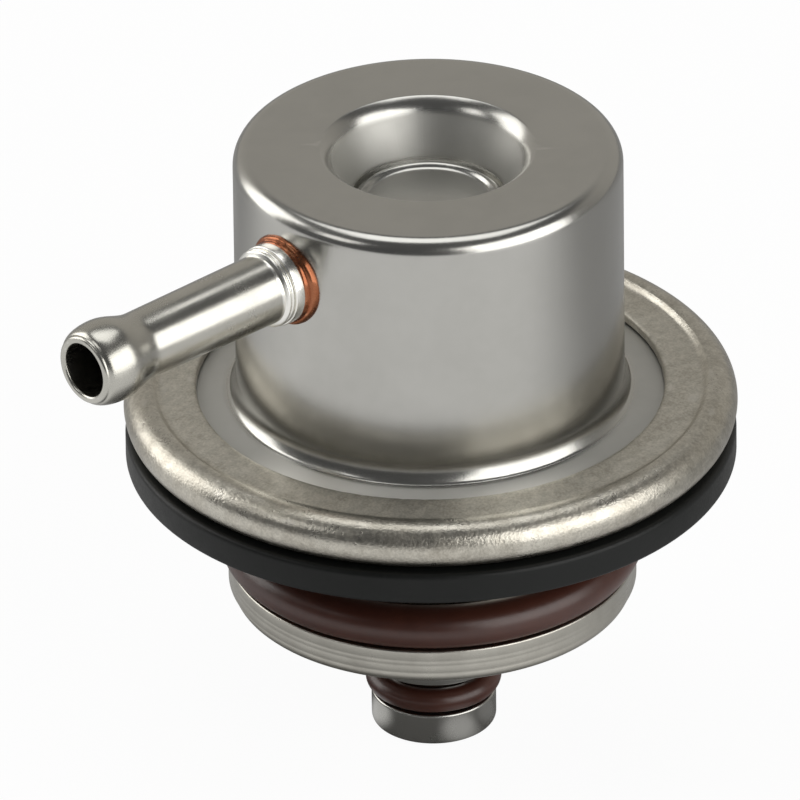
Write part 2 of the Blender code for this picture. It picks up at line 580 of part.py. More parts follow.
def valve_ball(finish, parts):
    """A ball with a ground flat, its origin at its own centre so that it swivels about it."""
    mesh = bpy.data.meshes.new("valve_ball")
    bm = bmesh.new()
    bmesh.ops.create_uvsphere(bm, u_segments=SMALL_STEPS, v_segments=10, radius=BALL_RADIUS)
    flat = (0.0, 0.0, BALL_FLAT_Z - BALL_Z)
    everything = bm.verts[:] + bm.edges[:] + bm.faces[:]
    bmesh.ops.bisect_plane(bm, geom=everything, plane_co=flat, plane_no=(0, 0, -1), clear_outer=True)
    rim = [edge for edge in bm.edges if edge.is_boundary]
    bmesh.ops.contextual_create(bm, geom=rim)
    bmesh.ops.recalc_face_normals(bm, faces=bm.faces[:])
    bm.to_mesh(mesh)
    bm.free()
    ball = linked(bpy.data.objects.new("valve_ball", mesh), parts, finish)
    ball.location = (0.0, 0.0, BALL_Z)
    shade(ball)
    return ball


def valve_seat(finish, parts):
    """The hard seat pressed into the top of the return tube, with the metering orifice."""
    flange_bottom = TUBE_TOP + SEATED
    profile = [(ORIFICE_RADIUS, VALVE_SEAT_TOP), (VALVE_SEAT_RADIUS, VALVE_SEAT_TOP)]
    profile += [(VALVE_SEAT_RADIUS, flange_bottom), (VALVE_SEAT_SPIGOT, flange_bottom)]
    profile += [(VALVE_SEAT_SPIGOT, VALVE_SEAT_BOTTOM), (ORIFICE_EXIT_RADIUS, VALVE_SEAT_BOTTOM)]
    profile += [(ORIFICE_RADIUS, VALVE_SEAT_TOP - ORIFICE_LENGTH)]
    return turned("valve_seat", profile, finish, parts, SMALL_STEPS)


def springs(finish, parts):
    """The main spring between its two seats, and the small spring that holds the ball down."""
    gap = SPRING_WIRE / 2 + SEATED
    main = coil(
        "main_spring", SPRING_MEAN, SPRING_WIRE, SPRING_TURNS, SPRING_END_TURNS,
        PLATE_SEAT_TOP + gap, CAP_BOTTOM - gap, finish, parts,
    )
    ball_top = BALL_Z + math.sqrt(BALL_RADIUS**2 - BALL_SPRING_MEAN**2)
    small_gap = BALL_SPRING_WIRE / 2 + SEATED
    small = coil(
        "ball_spring", BALL_SPRING_MEAN, BALL_SPRING_WIRE, BALL_SPRING_TURNS, 0.5,
        ball_top + small_gap, BALL_SPRING_TOP - small_gap, finish, parts, per_turn=10,
    )
    return main, small


def empty(name, z):
    """An empty on the regulator's axis that carries one body's pieces."""
    carrier = bpy.data.objects.new(name, None)
    carrier.empty_display_size = 5 * MM
    carrier.location = (0.0, 0.0, z)
    bpy.context.scene.collection.objects.link(carrier)
    return carrier


def carry(carrier, pieces):
    """Parents the pieces to the empty and leaves them where they are."""
    bpy.context.view_layer.update()
    for piece in pieces:
        piece.parent = carrier
        piece.matrix_parent_inverse = carrier.matrix_world.inverted()


def main():
    clear_scene()
    parts = new_collection("fuel_pressure_regulator")
    cutters = new_collection("cutters")

    drawn_steel = material("drawn_steel", (0.62, 0.61, 0.58), 0.28, 1.0)
    plated_steel = material("plated_steel", (0.50, 0.48, 0.43), 0.42, 1.0)
    spring_steel = material("spring_steel", (0.35, 0.36, 0.38), 0.30, 1.0)
    hard_steel = material("hard_steel", (0.72, 0.72, 0.74), 0.12, 1.0)
    copper = material("copper_braze", (0.62, 0.30, 0.17), 0.30, 1.0)
    brown_rubber = material("brown_rubber", (0.060, 0.022, 0.014), 0.38, 0.0)
    black_polymer = material("black_polymer", (0.012, 0.013, 0.014), 0.45, 0.0)
    rubber_cloth = material("rubber_cloth", (0.030, 0.030, 0.032), 0.70, 0.0)
    fine_mesh = material("fine_mesh", (0.58, 0.56, 0.50), 0.45, 1.0)

    main_spring, ball_spring = springs(spring_steel, parts)
    ball = valve_ball(hard_steel, parts)
    fixed = [
        upper_housing(drawn_steel, parts, cutters),
        lower_housing(plated_steel, parts),
        support_ring(black_polymer, parts),
        base_cap(plated_steel, parts, cutters),
        inlet_strainer(fine_mesh, parts),
        return_tube(drawn_steel, parts),
        vacuum_nipple(drawn_steel, parts),
        braze_ring(copper, parts, cutters),
        spring_cap(plated_steel, parts),
        diaphragm(rubber_cloth, parts),
        valve_seat(hard_steel, parts),
        main_spring,
        o_ring(
            "large_o_ring", LARGE_RING_MEAN, LARGE_RING_SECTION, LARGE_RING_Z,
            LARGE_STEPS, brown_rubber, parts,
        ),
        o_ring(
            "small_o_ring", SMALL_RING_MEAN, SMALL_RING_SECTION, SMALL_RING_Z,
            SMALL_STEPS, brown_rubber, parts,
        ),
    ]
    lifting = [
        spring_plate(plated_steel, parts),
        diaphragm_washer(plated_steel, parts),
        valve_holder(hard_steel, parts),
        ball_retainer(hard_steel, parts),
        ball_spring,
    ]
    carry(empty("housing", 0.0), fixed)
    carrier = empty("valve_carrier", 0.0)
    carry(carrier, lifting)
    swivel = empty("ball_swivel", BALL_Z)
    carry(swivel, [ball])
    carry(carrier, [swivel])


main()
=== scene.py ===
# Fuel pressure regulator, dressed for a close studio picture.
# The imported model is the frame. Outlines are written in millimetres and made in metres.

import math

import bmesh
import bpy
from mathutils import Matrix, Vector, noise


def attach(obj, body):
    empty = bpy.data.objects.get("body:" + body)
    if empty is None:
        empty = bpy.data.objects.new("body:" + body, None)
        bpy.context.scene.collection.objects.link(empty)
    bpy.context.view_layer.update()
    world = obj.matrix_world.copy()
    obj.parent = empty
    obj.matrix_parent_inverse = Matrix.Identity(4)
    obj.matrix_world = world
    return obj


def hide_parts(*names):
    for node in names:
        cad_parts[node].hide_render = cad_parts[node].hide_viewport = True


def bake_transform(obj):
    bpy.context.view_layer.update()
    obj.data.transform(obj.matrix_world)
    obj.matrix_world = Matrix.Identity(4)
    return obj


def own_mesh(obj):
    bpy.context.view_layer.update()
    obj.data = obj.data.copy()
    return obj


mm = 0.001
bigSteps = 224  # round the can, the crimp and the large seal
smallSteps = 112  # round the pieces under 12 mm across

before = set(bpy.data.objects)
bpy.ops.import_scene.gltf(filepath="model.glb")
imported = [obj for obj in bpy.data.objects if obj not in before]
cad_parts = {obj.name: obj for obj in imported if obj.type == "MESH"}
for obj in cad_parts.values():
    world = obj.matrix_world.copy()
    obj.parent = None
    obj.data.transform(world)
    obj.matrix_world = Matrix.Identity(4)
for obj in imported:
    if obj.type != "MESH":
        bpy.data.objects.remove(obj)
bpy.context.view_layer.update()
print("frame: packed model loaded with", len(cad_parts), "nodes")


# Node helpers


def setInputs(tree, made, inputs):
    for key, value in inputs.items():
        if isinstance(value, bpy.types.NodeSocket):
            tree.links.new(value, made.inputs[key])
        else:
            made.inputs[key].default_value = value
    return made


def addNode(tree, kind, inputs=None, **settings):
    made = tree.nodes.new(kind)
    for key, value in settings.items():
        setattr(made, key, value)
    return setInputs(tree, made, inputs or {}).outputs


def geo(tree, kind, inputs=None, **settings):
    return addNode(tree, "GeometryNode" + kind, inputs, **settings)[0]


def maths(tree, operation, *values):
    return addNode(tree, "ShaderNodeMath", dict(enumerate(values)), operation=operation)[0]


def plus(tree, first, second):
    return maths(tree, "ADD", first, second)


def minus(tree, first, second):
    return maths(tree, "SUBTRACT", first, second)


def times(tree, made, *values):
    for value in values:
        made = maths(tree, "MULTIPLY", made, value)
    return made


def vectorMaths(tree, operation, *values):
    made = addNode(tree, "ShaderNodeVectorMath", dict(enumerate(values)), operation=operation)
    return made["Value"] if operation in ("LENGTH", "DOT_PRODUCT") else made[0]


def join(tree, *values):
    return addNode(tree, "ShaderNodeCombineXYZ", dict(enumerate(values)))[0]


def split(tree, vector):
    # the coordinates, the vector without its height, and that one's length
    parts = addNode(tree, "ShaderNodeSeparateXYZ", {0: vector})
    flat = join(tree, parts[0], parts[1])
    return parts, flat, vectorMaths(tree, "LENGTH", flat)


def remap(tree, value, low, high, toLow=0.0, toHigh=1.0, kind="SMOOTHSTEP"):
    inputs = {"Value": value, "From Min": low, "From Max": high, "To Min": toLow, "To Max": toHigh}
    return addNode(tree, "ShaderNodeMapRange", inputs, interpolation_type=kind)[0]


def mixColour(tree, share, first, second, blend="MIX"):
    colours = [(*c, 1) if isinstance(c, tuple) else c for c in (first, second)]
    inputs = {0: share, 6: colours[0], 7: colours[1]}
    return addNode(tree, "ShaderNodeMix", inputs, data_type="RGBA", blend_type=blend)[2]


def noiseOf(tree, vector, scale, detail=3.0, roughness=0.55):
    inputs = {"Vector": vector, "Scale": scale, "Detail": detail, "Roughness": roughness}
    return addNode(tree, "ShaderNodeTexNoise", inputs)[0]


def newGroup(name, kind, inputs, outputs):
    # a socket is given by its start value, or by its kind in words
    tree = bpy.data.node_groups.new(name, kind)
    for label, value in inputs.items():
        words = value if isinstance(value, str) else "Int" if isinstance(value, int) else "Float"
        socket = tree.interface.new_socket(label, in_out="INPUT", socket_type="NodeSocket" + words)
        if words != value:
            socket.default_value = value
    for label, words in outputs.items():
        tree.interface.new_socket(label, in_out="OUTPUT", socket_type="NodeSocket" + words)
    return tree, tree.nodes.new("NodeGroupInput").outputs, tree.nodes.new("NodeGroupOutput").inputs


def placeGroup(tree, group, inputs):
    return addNode(tree, "ShaderNodeGroup", inputs, node_tree=group)


# Shader groups: effects that several finishes share. They put out heights and masks only.


def makeGrainGroup():
    # fine pitted grain of plated or tumbled metal, sizes in metres
    inputs = {"Vector": "Vector", "Grain Size": 0.0001, "Contrast": 0.25}
    outputs = {"Height": "Float", "Mask": "Float"}
    tree, start, end = newGroup("platingGrain", "ShaderNodeTree", inputs, outputs)
    scale = maths(tree, "DIVIDE", 1.0, start["Grain Size"])
    fine = noiseOf(tree, start["Vector"], scale, 2.0, 0.6)
    coarse = noiseOf(tree, start["Vector"], times(tree, scale, 0.27), 3.0, 0.5)
    height = plus(tree, times(tree, fine, 0.6), times(tree, coarse, 0.4))
    low = minus(tree, 0.5, start["Contrast"])
    high = plus(tree, 0.5, start["Contrast"])
    tree.links.new(height, end["Height"])
    tree.links.new(remap(tree, height, low, high), end["Mask"])
    return tree


def makeTurningGroup():
    # rings round local Z that a lathe or a drawing die leaves
    inputs = {"Vector": "Vector", "Spacing": 0.0002}
    tree, start, end = newGroup("turningMarks", "ShaderNodeTree", inputs, {"Height": "Float"})
    parts, flat, radius = split(tree, start["Vector"])
    turn = addNode(tree, "ShaderNodeSeparateXYZ", {0: vectorMaths(tree, "NORMALIZE", flat)})[0]
    radius = maths(tree, "DIVIDE", radius, start["Spacing"])
    height = maths(tree, "DIVIDE", parts[2], start["Spacing"])
    place = join(tree, radius, height, times(tree, turn, 0.7))
    tree.links.new(noiseOf(tree, place, 1.0, 3.0, 0.65), end["Height"])
    return tree


def makeStreakGroup():
    # streaks along local Z, as drawing through a die leaves
    inputs = {"Vector": "Vector", "Count": 40.0, "Length": 0.01}
    tree, start, end = newGroup("drawStreaks", "ShaderNodeTree", inputs, {"Height": "Float"})
    parts, flat = split(tree, start["Vector"])[:2]
    turn = addNode(tree, "ShaderNodeSeparateXYZ", {0: vectorMaths(tree, "NORMALIZE", flat)})
    height = maths(tree, "DIVIDE", parts[2], start["Length"])
    place = join(tree, times(tree, turn[0], start["Count"]), times(tree, turn[1], start["Count"]), height)
    tree.links.new(noiseOf(tree, place, 1.0, 2.0, 0.6), end["Height"])
    return tree


def makePatchGroup():
    # broad soft patches of handling and plating
    inputs = {"Vector": "Vector", "Patch Size": 0.004}
    tree, start, end = newGroup("softPatches", "ShaderNodeTree", inputs, {"Mask": "Float"})
    scale = maths(tree, "DIVIDE", 1.0, start["Patch Size"])
    tree.links.new(remap(tree, noiseOf(tree, start["Vector"], scale, 4.0, 0.6), 0.3, 0.7), end["Mask"])
    return tree


def makeWearGroup():
    # edges rubbed bright, from the bend of the surface
    inputs = {"Vector": "Vector", "Low": 0.52, "High": 0.62}
    tree, start, end = newGroup("rubbedEdges", "ShaderNodeTree", inputs, {"Mask": "Float"})
    bend = addNode(tree, "ShaderNodeNewGeometry")["Pointiness"]
    broken = remap(tree, noiseOf(tree, start["Vector"], 900.0, 3.0), 0.25, 0.6, 0.35, 1.0)
    tree.links.new(times(tree, remap(tree, bend, start["Low"], start["High"]), broken), end["Mask"])
    return tree


grainGroup = makeGrainGroup()
turningGroup = makeTurningGroup()
streakGroup = makeStreakGroup()
patchGroup = makePatchGroup()
wearGroup = makeWearGroup()


# Finishes

# where a finish changes: full at the first value and gone at the second,
# of the distance from the axis (across) or of the height (level)
zones = {
    "dimple": (("across", 0.0076, 0.0080), ("level", 0.0258, 0.0264), ("level", 0.0233, 0.0228)),
    "flange": (("across", 0.0163, 0.0158), ("level", 0.0060, 0.0064)),
    "lip": (("across", 0.0208, 0.0215), ("level", 0.0057, 0.0053)),
    "nippleCollar": (("level", 0.0150, 0.0148), ("level", 0.0176, 0.0178)),
}
beadZone = (0.0208, 0.0222)  # where the crimp's fine grain turns coarse
photoFront = (0.70, 0.71, 0)
flangeHighlightZone = (0.010, 0.0165)  # painted highlight: how far towards the front the flange is painted paler


def newFinish(name):
    made = bpy.data.materials.new(name)
    made.use_nodes = True
    return made, made.node_tree, made.node_tree.nodes["Principled BSDF"]


def startFinish(name, look, alongX=None):
    # a look's grain is its size and depth, its rings are depth and spacing, in metres
    made, tree, shader = newFinish(name)
    place = addNode(tree, "ShaderNodeTexCoord")["Object"]
    if alongX is not None:
        # turned so that a piece along X has its axis on local Z
        inputs = {"Vector": place, "Location": (0, 0, alongX), "Rotation": (0, math.radians(90), 0)}
        place = addNode(tree, "ShaderNodeMapping", inputs, vector_type="TEXTURE")[0]
    size, depth = look["grain"]
    grain = placeGroup(tree, grainGroup, {"Vector": place, "Grain Size": size})
    patch = placeGroup(tree, patchGroup, {"Vector": place, "Patch Size": look["patchSize"]})["Mask"]
    return made, tree, shader, place, grain["Mask"], times(tree, grain["Height"], depth), patch


def addRings(tree, place, look, height):
    if not look.get("rings"):
        return height
    depth, spacing = look["rings"]
    rings = placeGroup(tree, turningGroup, {"Vector": place, "Spacing": spacing})["Height"]
    return plus(tree, height, times(tree, rings, depth))


def closeFinish(tree, shader, tone, rough, height, metallic=1.0, **more):
    bump = addNode(tree, "ShaderNodeBump", {"Height": height, "Strength": 1.0, "Distance": 1.0})[0]
    inputs = {"Base Color": tone, "Roughness": rough, "Metallic": metallic, "Normal": bump}
    setInputs(tree, shader, {**inputs, **more})


def metalFinish(name, look, alongX=None):
    made, tree, shader, place, grain, height, patch = startFinish(name, look, alongX)
    parts, across = split(tree, place)[::2]
    measures = {"across": across, "level": parts[2]}

    def shareOf(zone):
        ramps = [remap(tree, measures[measure], full, gone, 1.0, 0.0) for measure, full, gone in zones[zone]]
        return times(tree, *ramps)

    if look.get("beadGrain"):
        # the grain is coarse on the rolled bead and fine on the rest
        height = times(tree, height, remap(tree, across, *beadZone, look["beadGrain"], 1.0))
    height = addRings(tree, place, look, height)
    if look.get("streaks"):
        depth, count, length = look["streaks"]
        streaks = placeGroup(tree, streakGroup, {"Vector": place, "Count": count, "Length": length})["Height"]
        # none on the flat faces across the axis
        facing = addNode(tree, "ShaderNodeTexCoord")["Normal"]
        facing = vectorMaths(tree, "DOT_PRODUCT", facing, (0, 0, 1) if alongX is None else (1, 0, 0))
        wall = remap(tree, maths(tree, "ABSOLUTE", facing), 0.4, 0.9, 1.0, 0.0)
        height = plus(tree, height, times(tree, streaks, wall, depth))
    tone = mixColour(tree, patch, look["colour"], look["patchColour"])
    tone = mixColour(tree, times(tree, grain, look["grainTone"]), tone, look["colour"])
    if look.get("speckle"):
        speck = remap(tree, grain, 0.0, 1.0, *look["speckle"], "LINEAR")
        tone = mixColour(tree, 1.0, tone, join(tree, speck, speck, speck), "MULTIPLY")
    wear = placeGroup(tree, wearGroup, {"Vector": place, "Low": 0.53, "High": 0.64})["Mask"]
    tone = mixColour(tree, times(tree, wear, look["wear"]), tone, look["wornColour"])
    spread = plus(tree, times(tree, patch, 0.6), times(tree, grain, 0.4))
    rough = remap(tree, spread, 0.0, 1.0, *look["roughness"], "LINEAR")
    for zone, extra in look.get("dull", {}).items():
        rough = plus(tree, rough, times(tree, shareOf(zone), extra))
    if look.get("pale"):
        zone, share, colour = look["pale"]
        share = times(tree, shareOf(zone), share)
        if zone == "flange":
            # painted highlight: the flange is painted paler only on the side that faces the camera
            forward = vectorMaths(tree, "DOT_PRODUCT", place, photoFront)
            share = times(tree, share, remap(tree, forward, *flangeHighlightZone))
        tone = mixColour(tree, share, tone, colour)
    closeFinish(tree, shader, tone, rough, height)
    return made


drawnSteelLook = {
    "colour": (0.46, 0.455, 0.43),
    "patchColour": (0.43, 0.425, 0.40),
    "wornColour": (0.60, 0.595, 0.57),
    "wear": 0.5,
    "roughness": (0.20, 0.27),
    "grain": (0.00013, 3e-6),
    "grainTone": 0.5,
    "patchSize": 0.006,
    "streaks": (6e-6, 22.0, 0.020),  # depth, count and length
}
nippleSteelLook = {
    **drawnSteelLook,
    "colour": (0.50, 0.49, 0.45),
    "patchColour": (0.44, 0.43, 0.39),
    "roughness": (0.20, 0.30),
    "grain": (0.00013, 4e-6),
    "streaks": (4e-6, 14.0, 0.006),
    "pale": ("nippleCollar", 1.0, (0.84, 0.83, 0.79)),
}
canSteelLook = {
    **drawnSteelLook,
    "dull": {"dimple": 0.27, "flange": 0.27},
    # the flange's pale colour is a painted highlight, on the side that faces the camera
    "pale": ("flange", 0.95, (0.93, 0.92, 0.88)),
}
footSteelLook = {**drawnSteelLook, "roughness": (0.22, 0.30), "streaks": None, "rings": (3e-6, 0.00016)}
platedSteelLook = {
    "colour": (0.51, 0.488, 0.43),
    "patchColour": (0.42, 0.392, 0.335),
    "wornColour": (0.58, 0.56, 0.51),
    "wear": 0.5,
    "roughness": (0.25, 0.38),
    "grain": (0.00021, 48e-6),
    "grainTone": 0.6,
    "patchSize": 0.0025,
}
crimpSteelLook = {**platedSteelLook, "beadGrain": 0.3, "dull": {"lip": 0.16}, "speckle": (0.78, 1.18)}
collarSteelLook = {
    **platedSteelLook,
    "colour": (0.46, 0.445, 0.40),
    "patchColour": (0.39, 0.375, 0.335),
    "grain": (0.00021, 7e-6),
    "roughness": (0.26, 0.36),
    "rings": (6e-6, 0.00045),
}
springSteelLook = {
    **drawnSteelLook,
    "colour": (0.30, 0.305, 0.32),
    "patchColour": (0.22, 0.22, 0.23),
    "roughness": (0.22, 0.34),
    "streaks": None,
}
hardSteelLook = {
    **drawnSteelLook,
    "colour": (0.62, 0.62, 0.63),
    "patchColour": (0.56, 0.56, 0.56),
    "roughness": (0.08, 0.15),
    "grain": (0.00013, 1e-6),
    "streaks": None,
    "rings": (1.5e-6, 0.00010),
}
strainerLook = {
    **platedSteelLook,
    "colour": (0.55, 0.53, 0.47),
    "patchColour": (0.48, 0.46, 0.40),
    "grain": (0.00021, 2e-6),
}


def copperFinish(look):
    made, tree, shader, place, grain, height, patch = startFinish("copperBraze", look)
    bend = addNode(tree, "ShaderNodeNewGeometry")["Pointiness"]
    tone = mixColour(tree, remap(tree, bend, *look["bend"]), look["grooveColour"], look["ridgeColour"])
    tone = mixColour(tree, times(tree, patch, 0.45), tone, look["patchColour"])
    closeFinish(tree, shader, tone, remap(tree, grain, 0.0, 1.0, *look["roughness"], "LINEAR"), height)
    return made


copperLook = {
    "ridgeColour": (0.46, 0.20, 0.105),
    "grooveColour": (0.20, 0.056, 0.025),
    "patchColour": (0.30, 0.098, 0.045),
    "bend": (0.44, 0.60),  # from a groove to a ridge
    "roughness": (0.20, 0.34),
    "grain": (0.00022, 12e-6),
    "patchSize": 0.0012,
}


def softFinish(name, look):
    # rubber, moulded polymer and rubberised cloth
    made, tree, shader, place, grain, height, patch = startFinish(name, look)
    tone = mixColour(tree, patch, look["colour"], look["patchColour"])
    rough = remap(tree, grain, 0.0, 1.0, *look["roughness"], "LINEAR")
    shine = {"Specular IOR Level": look["specular"]}
    closeFinish(tree, shader, tone, rough, addRings(tree, place, look, height), 0.0, **shine)
    return made


brownRubberLook = {
    "colour": (0.062, 0.0190, 0.0115),
    "patchColour": (0.048, 0.0150, 0.0095),
    "specular": 0.55,
    "roughness": (0.28, 0.38),
    "grain": (0.0003, 6e-6),
    "patchSize": 0.004,
    "rings": (4e-6, 0.0004),
}
blackPolymerLook = {
    "colour": (0.0060, 0.0068, 0.0064),
    "patchColour": (0.0078, 0.0086, 0.0082),
    "specular": 0.22,
    "roughness": (0.34, 0.46),
    "grain": (0.00022, 10e-6),
    "patchSize": 0.005,
}
rubberClothLook = {
    "colour": (0.026, 0.026, 0.028),
    "patchColour": (0.034, 0.033, 0.033),
    "specular": 0.4,
    "roughness": (0.55, 0.75),
    "grain": (0.00035, 50e-6),
    "patchSize": 0.003,
}

nippleHeight = 0.02125
finish = {
    "drawn": metalFinish("drawnSteel", canSteelLook),
    "nipple": metalFinish("nippleSteel", nippleSteelLook, nippleHeight),
    "foot": metalFinish("footSteel", footSteelLook),
    "plated": metalFinish("platedSteel", crimpSteelLook),
    "collar": metalFinish("collarSteel", collarSteelLook),
    "spring": metalFinish("springSteel", springSteelLook),
    "hard": metalFinish("hardSteel", hardSteelLook),
    "strainer": metalFinish("strainerWire", strainerLook),
    "copper": copperFinish(copperLook),
    "rubber": softFinish("brownRubber", brownRubberLook),
    "polymer": softFinish("blackPolymer", blackPolymerLook),
    "cloth": softFinish("rubberCloth", rubberClothLook),
}
print("finishes:", len(finish), "materials from", len(bpy.data.node_groups), "shader groups")


# Geometry node trees. Each ends in Realize Instances and Set Material.


def newShapeTree(name, inputs):
    return newGroup(name, "GeometryNodeTree", {**inputs, "Material": "Material"}, {"Geometry": "Geometry"})


def closeTree(tree, start, end, result):
    real = geo(tree, "RealizeInstances", {0: result})
    painted = geo(tree, "SetMaterial", {"Geometry": real, "Material": start["Material"]})
    tree.links.new(painted, end[0])
    return tree


def moveTo(tree, points, place):
    return geo(tree, "SetPosition", {"Geometry": points, "Position": place})


def wireAlong(tree, points, wire, sides):
    path = geo(tree, "MeshToCurve", {0: points})
    section = geo(tree, "CurvePrimitiveCircle", {"Resolution": sides, "Radius": times(tree, wire, 0.5)})
    return geo(tree, "CurveToMesh", {"Curve": path, "Profile Curve": section, "Fill Caps": True})


def makeTurningTree():
    # sweeps an outline (radius, 0, height) round Z
    inputs = {"Outline": "Geometry", "Steps": 64, "Guide Radius": 0.05}
    tree, start, end = newShapeTree("turnedOutline", inputs)
    parts = addNode(tree, "ShaderNodeSeparateXYZ", {0: geo(tree, "InputPosition")})
    flat = join(tree, minus(tree, parts[0], start["Guide Radius"]), times(tree, parts[2], -1.0))
    outline = geo(tree, "MeshToCurve", {0: moveTo(tree, start["Outline"], flat)})
    inputs = {"Resolution": start["Steps"], "Radius": start["Guide Radius"]}
    circle = geo(tree, "CurvePrimitiveCircle", inputs)
    swept = geo(tree, "CurveToMesh", {"Curve": circle, "Profile Curve": outline})
    welded = geo(tree, "MergeByDistance", {"Geometry": swept, "Distance": 1e-7})
    return closeTree(tree, start, end, welded)


def makeSpringTree():
    # a round-wire coil with closed ends, from a bare start object
    inputs = {"Base": "Geometry", "Turns": 5.0, "End Turns": 0.75, "Mean Radius": 0.009, "Wire": 0.002,
              "Bottom": 0.0, "Top": 0.015, "Points": 400}
    tree, start, end = newShapeTree("coiledWire", inputs)
    line = geo(tree, "MeshLine", {"Count": start["Points"]}, mode="OFFSET")
    place = geo(tree, "InputIndex")
    turn = times(tree, maths(tree, "DIVIDE", place, minus(tree, start["Points"], 1.0)), start["Turns"])
    openTurns = minus(tree, start["Turns"], times(tree, start["End Turns"], 2.0))
    closedPitch = times(tree, start["Wire"], 1.06)
    closedHeight = times(tree, start["End Turns"], closedPitch, 2.0)
    travel = minus(tree, minus(tree, start["Top"], start["Bottom"]), closedHeight)
    openPitch = maths(tree, "DIVIDE", travel, openTurns)
    past = minus(tree, turn, start["End Turns"])
    middle = maths(tree, "MINIMUM", maths(tree, "MAXIMUM", past, 0.0), openTurns)
    closed = times(tree, minus(tree, turn, middle), closedPitch)
    height = plus(tree, plus(tree, closed, times(tree, middle, openPitch)), start["Bottom"])
    angle = times(tree, turn, math.tau)
    x, y = (times(tree, maths(tree, wave, angle), start["Mean Radius"]) for wave in ("COSINE", "SINE"))
    placed = moveTo(tree, line, join(tree, x, y, height))
    return closeTree(tree, start, end, wireAlong(tree, placed, start["Wire"], 20))


def makeDrillTree():
    # takes evenly spaced round holes out of a plate
    inputs = {"Plate": "Geometry", "Count": 8, "Circle Radius": 0.0093, "Hole Radius": 0.0015, "Height": 0.0}
    tree, start, end = newShapeTree("drilledRing", inputs)
    ring = geo(tree, "MeshCircle", {"Vertices": start["Count"], "Radius": start["Circle Radius"]})
    half = maths(tree, "DIVIDE", math.pi, start["Count"])
    lift, turn = join(tree, 0.0, 0.0, start["Height"]), join(tree, 0.0, 0.0, half)
    ring = geo(tree, "Transform", {"Geometry": ring, "Translation": lift, "Rotation": turn})
    drill = geo(tree, "MeshCylinder", {"Vertices": 48, "Radius": start["Hole Radius"], "Depth": 0.004})
    drills = geo(tree, "InstanceOnPoints", {"Points": ring, "Instance": drill})
    drills = geo(tree, "RealizeInstances", {0: drills})
    cut = geo(tree, "MeshBoolean", {"Mesh 1": start["Plate"], "Mesh 2": drills}, operation="DIFFERENCE")
    return closeTree(tree, start, end, cut)


def makeWeaveTree():
    # plain-woven wires along X and Y, kept inside a ring
    inputs = {"Base": "Geometry", "Inner Radius": 0.0066, "Outer Radius": 0.0123, "Pitch": 0.0006,
              "Wire": 0.00016, "Height": -0.0109, "Rows": 42}
    tree, start, end = newShapeTree("wovenRing", inputs)
    joined = tree.nodes.new("GeometryNodeJoinGeometry")
    for quarter in (0, 1):
        # each row is a line with two points to a pitch, so that a wire goes over one and under the next
        points = times(tree, start["Rows"], 2.0)
        count = times(tree, points, start["Rows"])
        line = geo(tree, "MeshLine", {"Count": count}, mode="OFFSET")
        index = geo(tree, "InputIndex")
        row = maths(tree, "FLOOR", maths(tree, "DIVIDE", index, points))
        along = minus(tree, index, times(tree, row, points))
        middle = minus(tree, row, times(tree, start["Rows"], 0.5))
        x = times(tree, minus(tree, along, start["Rows"]), 0.5, start["Pitch"])
        y = times(tree, plus(tree, middle, 0.5), start["Pitch"])
        phase = plus(tree, times(tree, along, 0.5), plus(tree, row, float(quarter)))
        wave = maths(tree, "SINE", times(tree, phase, math.pi))
        z = plus(tree, times(tree, wave, start["Wire"], 0.5), start["Height"])
        placed = moveTo(tree, line, join(tree, y, x, z) if quarter else join(tree, x, y, z))
        distance = split(tree, geo(tree, "InputPosition"))[2]
        outside = maths(tree, "GREATER_THAN", distance, start["Outer Radius"])
        inside = maths(tree, "LESS_THAN", distance, start["Inner Radius"])
        rowEnd = maths(tree, "LESS_THAN", along, 0.5)
        drop = maths(tree, "MAXIMUM", maths(tree, "MAXIMUM", outside, inside), rowEnd)
        kept = geo(tree, "DeleteGeometry", {"Geometry": placed, "Selection": drop}, domain="POINT")
        tree.links.new(kept, joined.inputs[0])
    return closeTree(tree, start, end, wireAlong(tree, joined.outputs[0], start["Wire"], 5))


turningTree = makeTurningTree()
springTree = makeSpringTree()
drillTree = makeDrillTree()
weaveTree = makeWeaveTree()
print("geometry trees:", turningTree.name, springTree.name, drillTree.name, weaveTree.name)


# Making pieces


def linkObject(name, data):
    made = bpy.data.objects.new(name, data)
    bpy.context.scene.collection.objects.link(made)
    return made


def meshPiece(name, verts, faces, material):
    mesh = bpy.data.meshes.new(name)
    mesh.from_pydata(verts, [], faces)
    mesh.materials.append(material)
    return linkObject(name, mesh)


def grow(name, mesh, tree, inputs):
    # runs a tree on a mesh and gives the result as a plain mesh object
    raw = linkObject(name + "_start", mesh)
    modifier = raw.modifiers.new(tree.name, "NODES")
    modifier.node_group = tree
    sockets = {s.name: s.identifier for s in tree.interface.items_tree if s.in_out == "INPUT"}
    for label, value in inputs.items():
        modifier[sockets[label]] = value
    bpy.context.view_layer.update()
    graph = bpy.context.evaluated_depsgraph_get()
    made = bpy.data.meshes.new_from_object(raw.evaluated_get(graph))
    bpy.data.objects.remove(raw)
    made.name = name
    return linkObject(name, made)


def tidyFaces(piece, sharp=38.0):
    shape = bmesh.new()
    shape.from_mesh(piece.data)
    bmesh.ops.remove_doubles(shape, verts=shape.verts[:], dist=1e-7)
    bmesh.ops.recalc_face_normals(shape, faces=shape.faces[:])
    shape.to_mesh(piece.data)
    shape.free()
    piece.data.shade_smooth()
    piece.data.set_sharp_from_angle(angle=math.radians(sharp))
    return piece


def moveVertices(piece, rule):
    for vertex in piece.data.vertices:
        vertex.co = rule(vertex.co.copy())
    piece.data.update()
    return piece


def arc(centre, radius, start, end, steps):
    turns = [math.radians(start + (end - start) * i / steps) for i in range(steps + 1)]
    return [(centre[0] + radius * math.cos(a), centre[1] + radius * math.sin(a)) for a in turns]


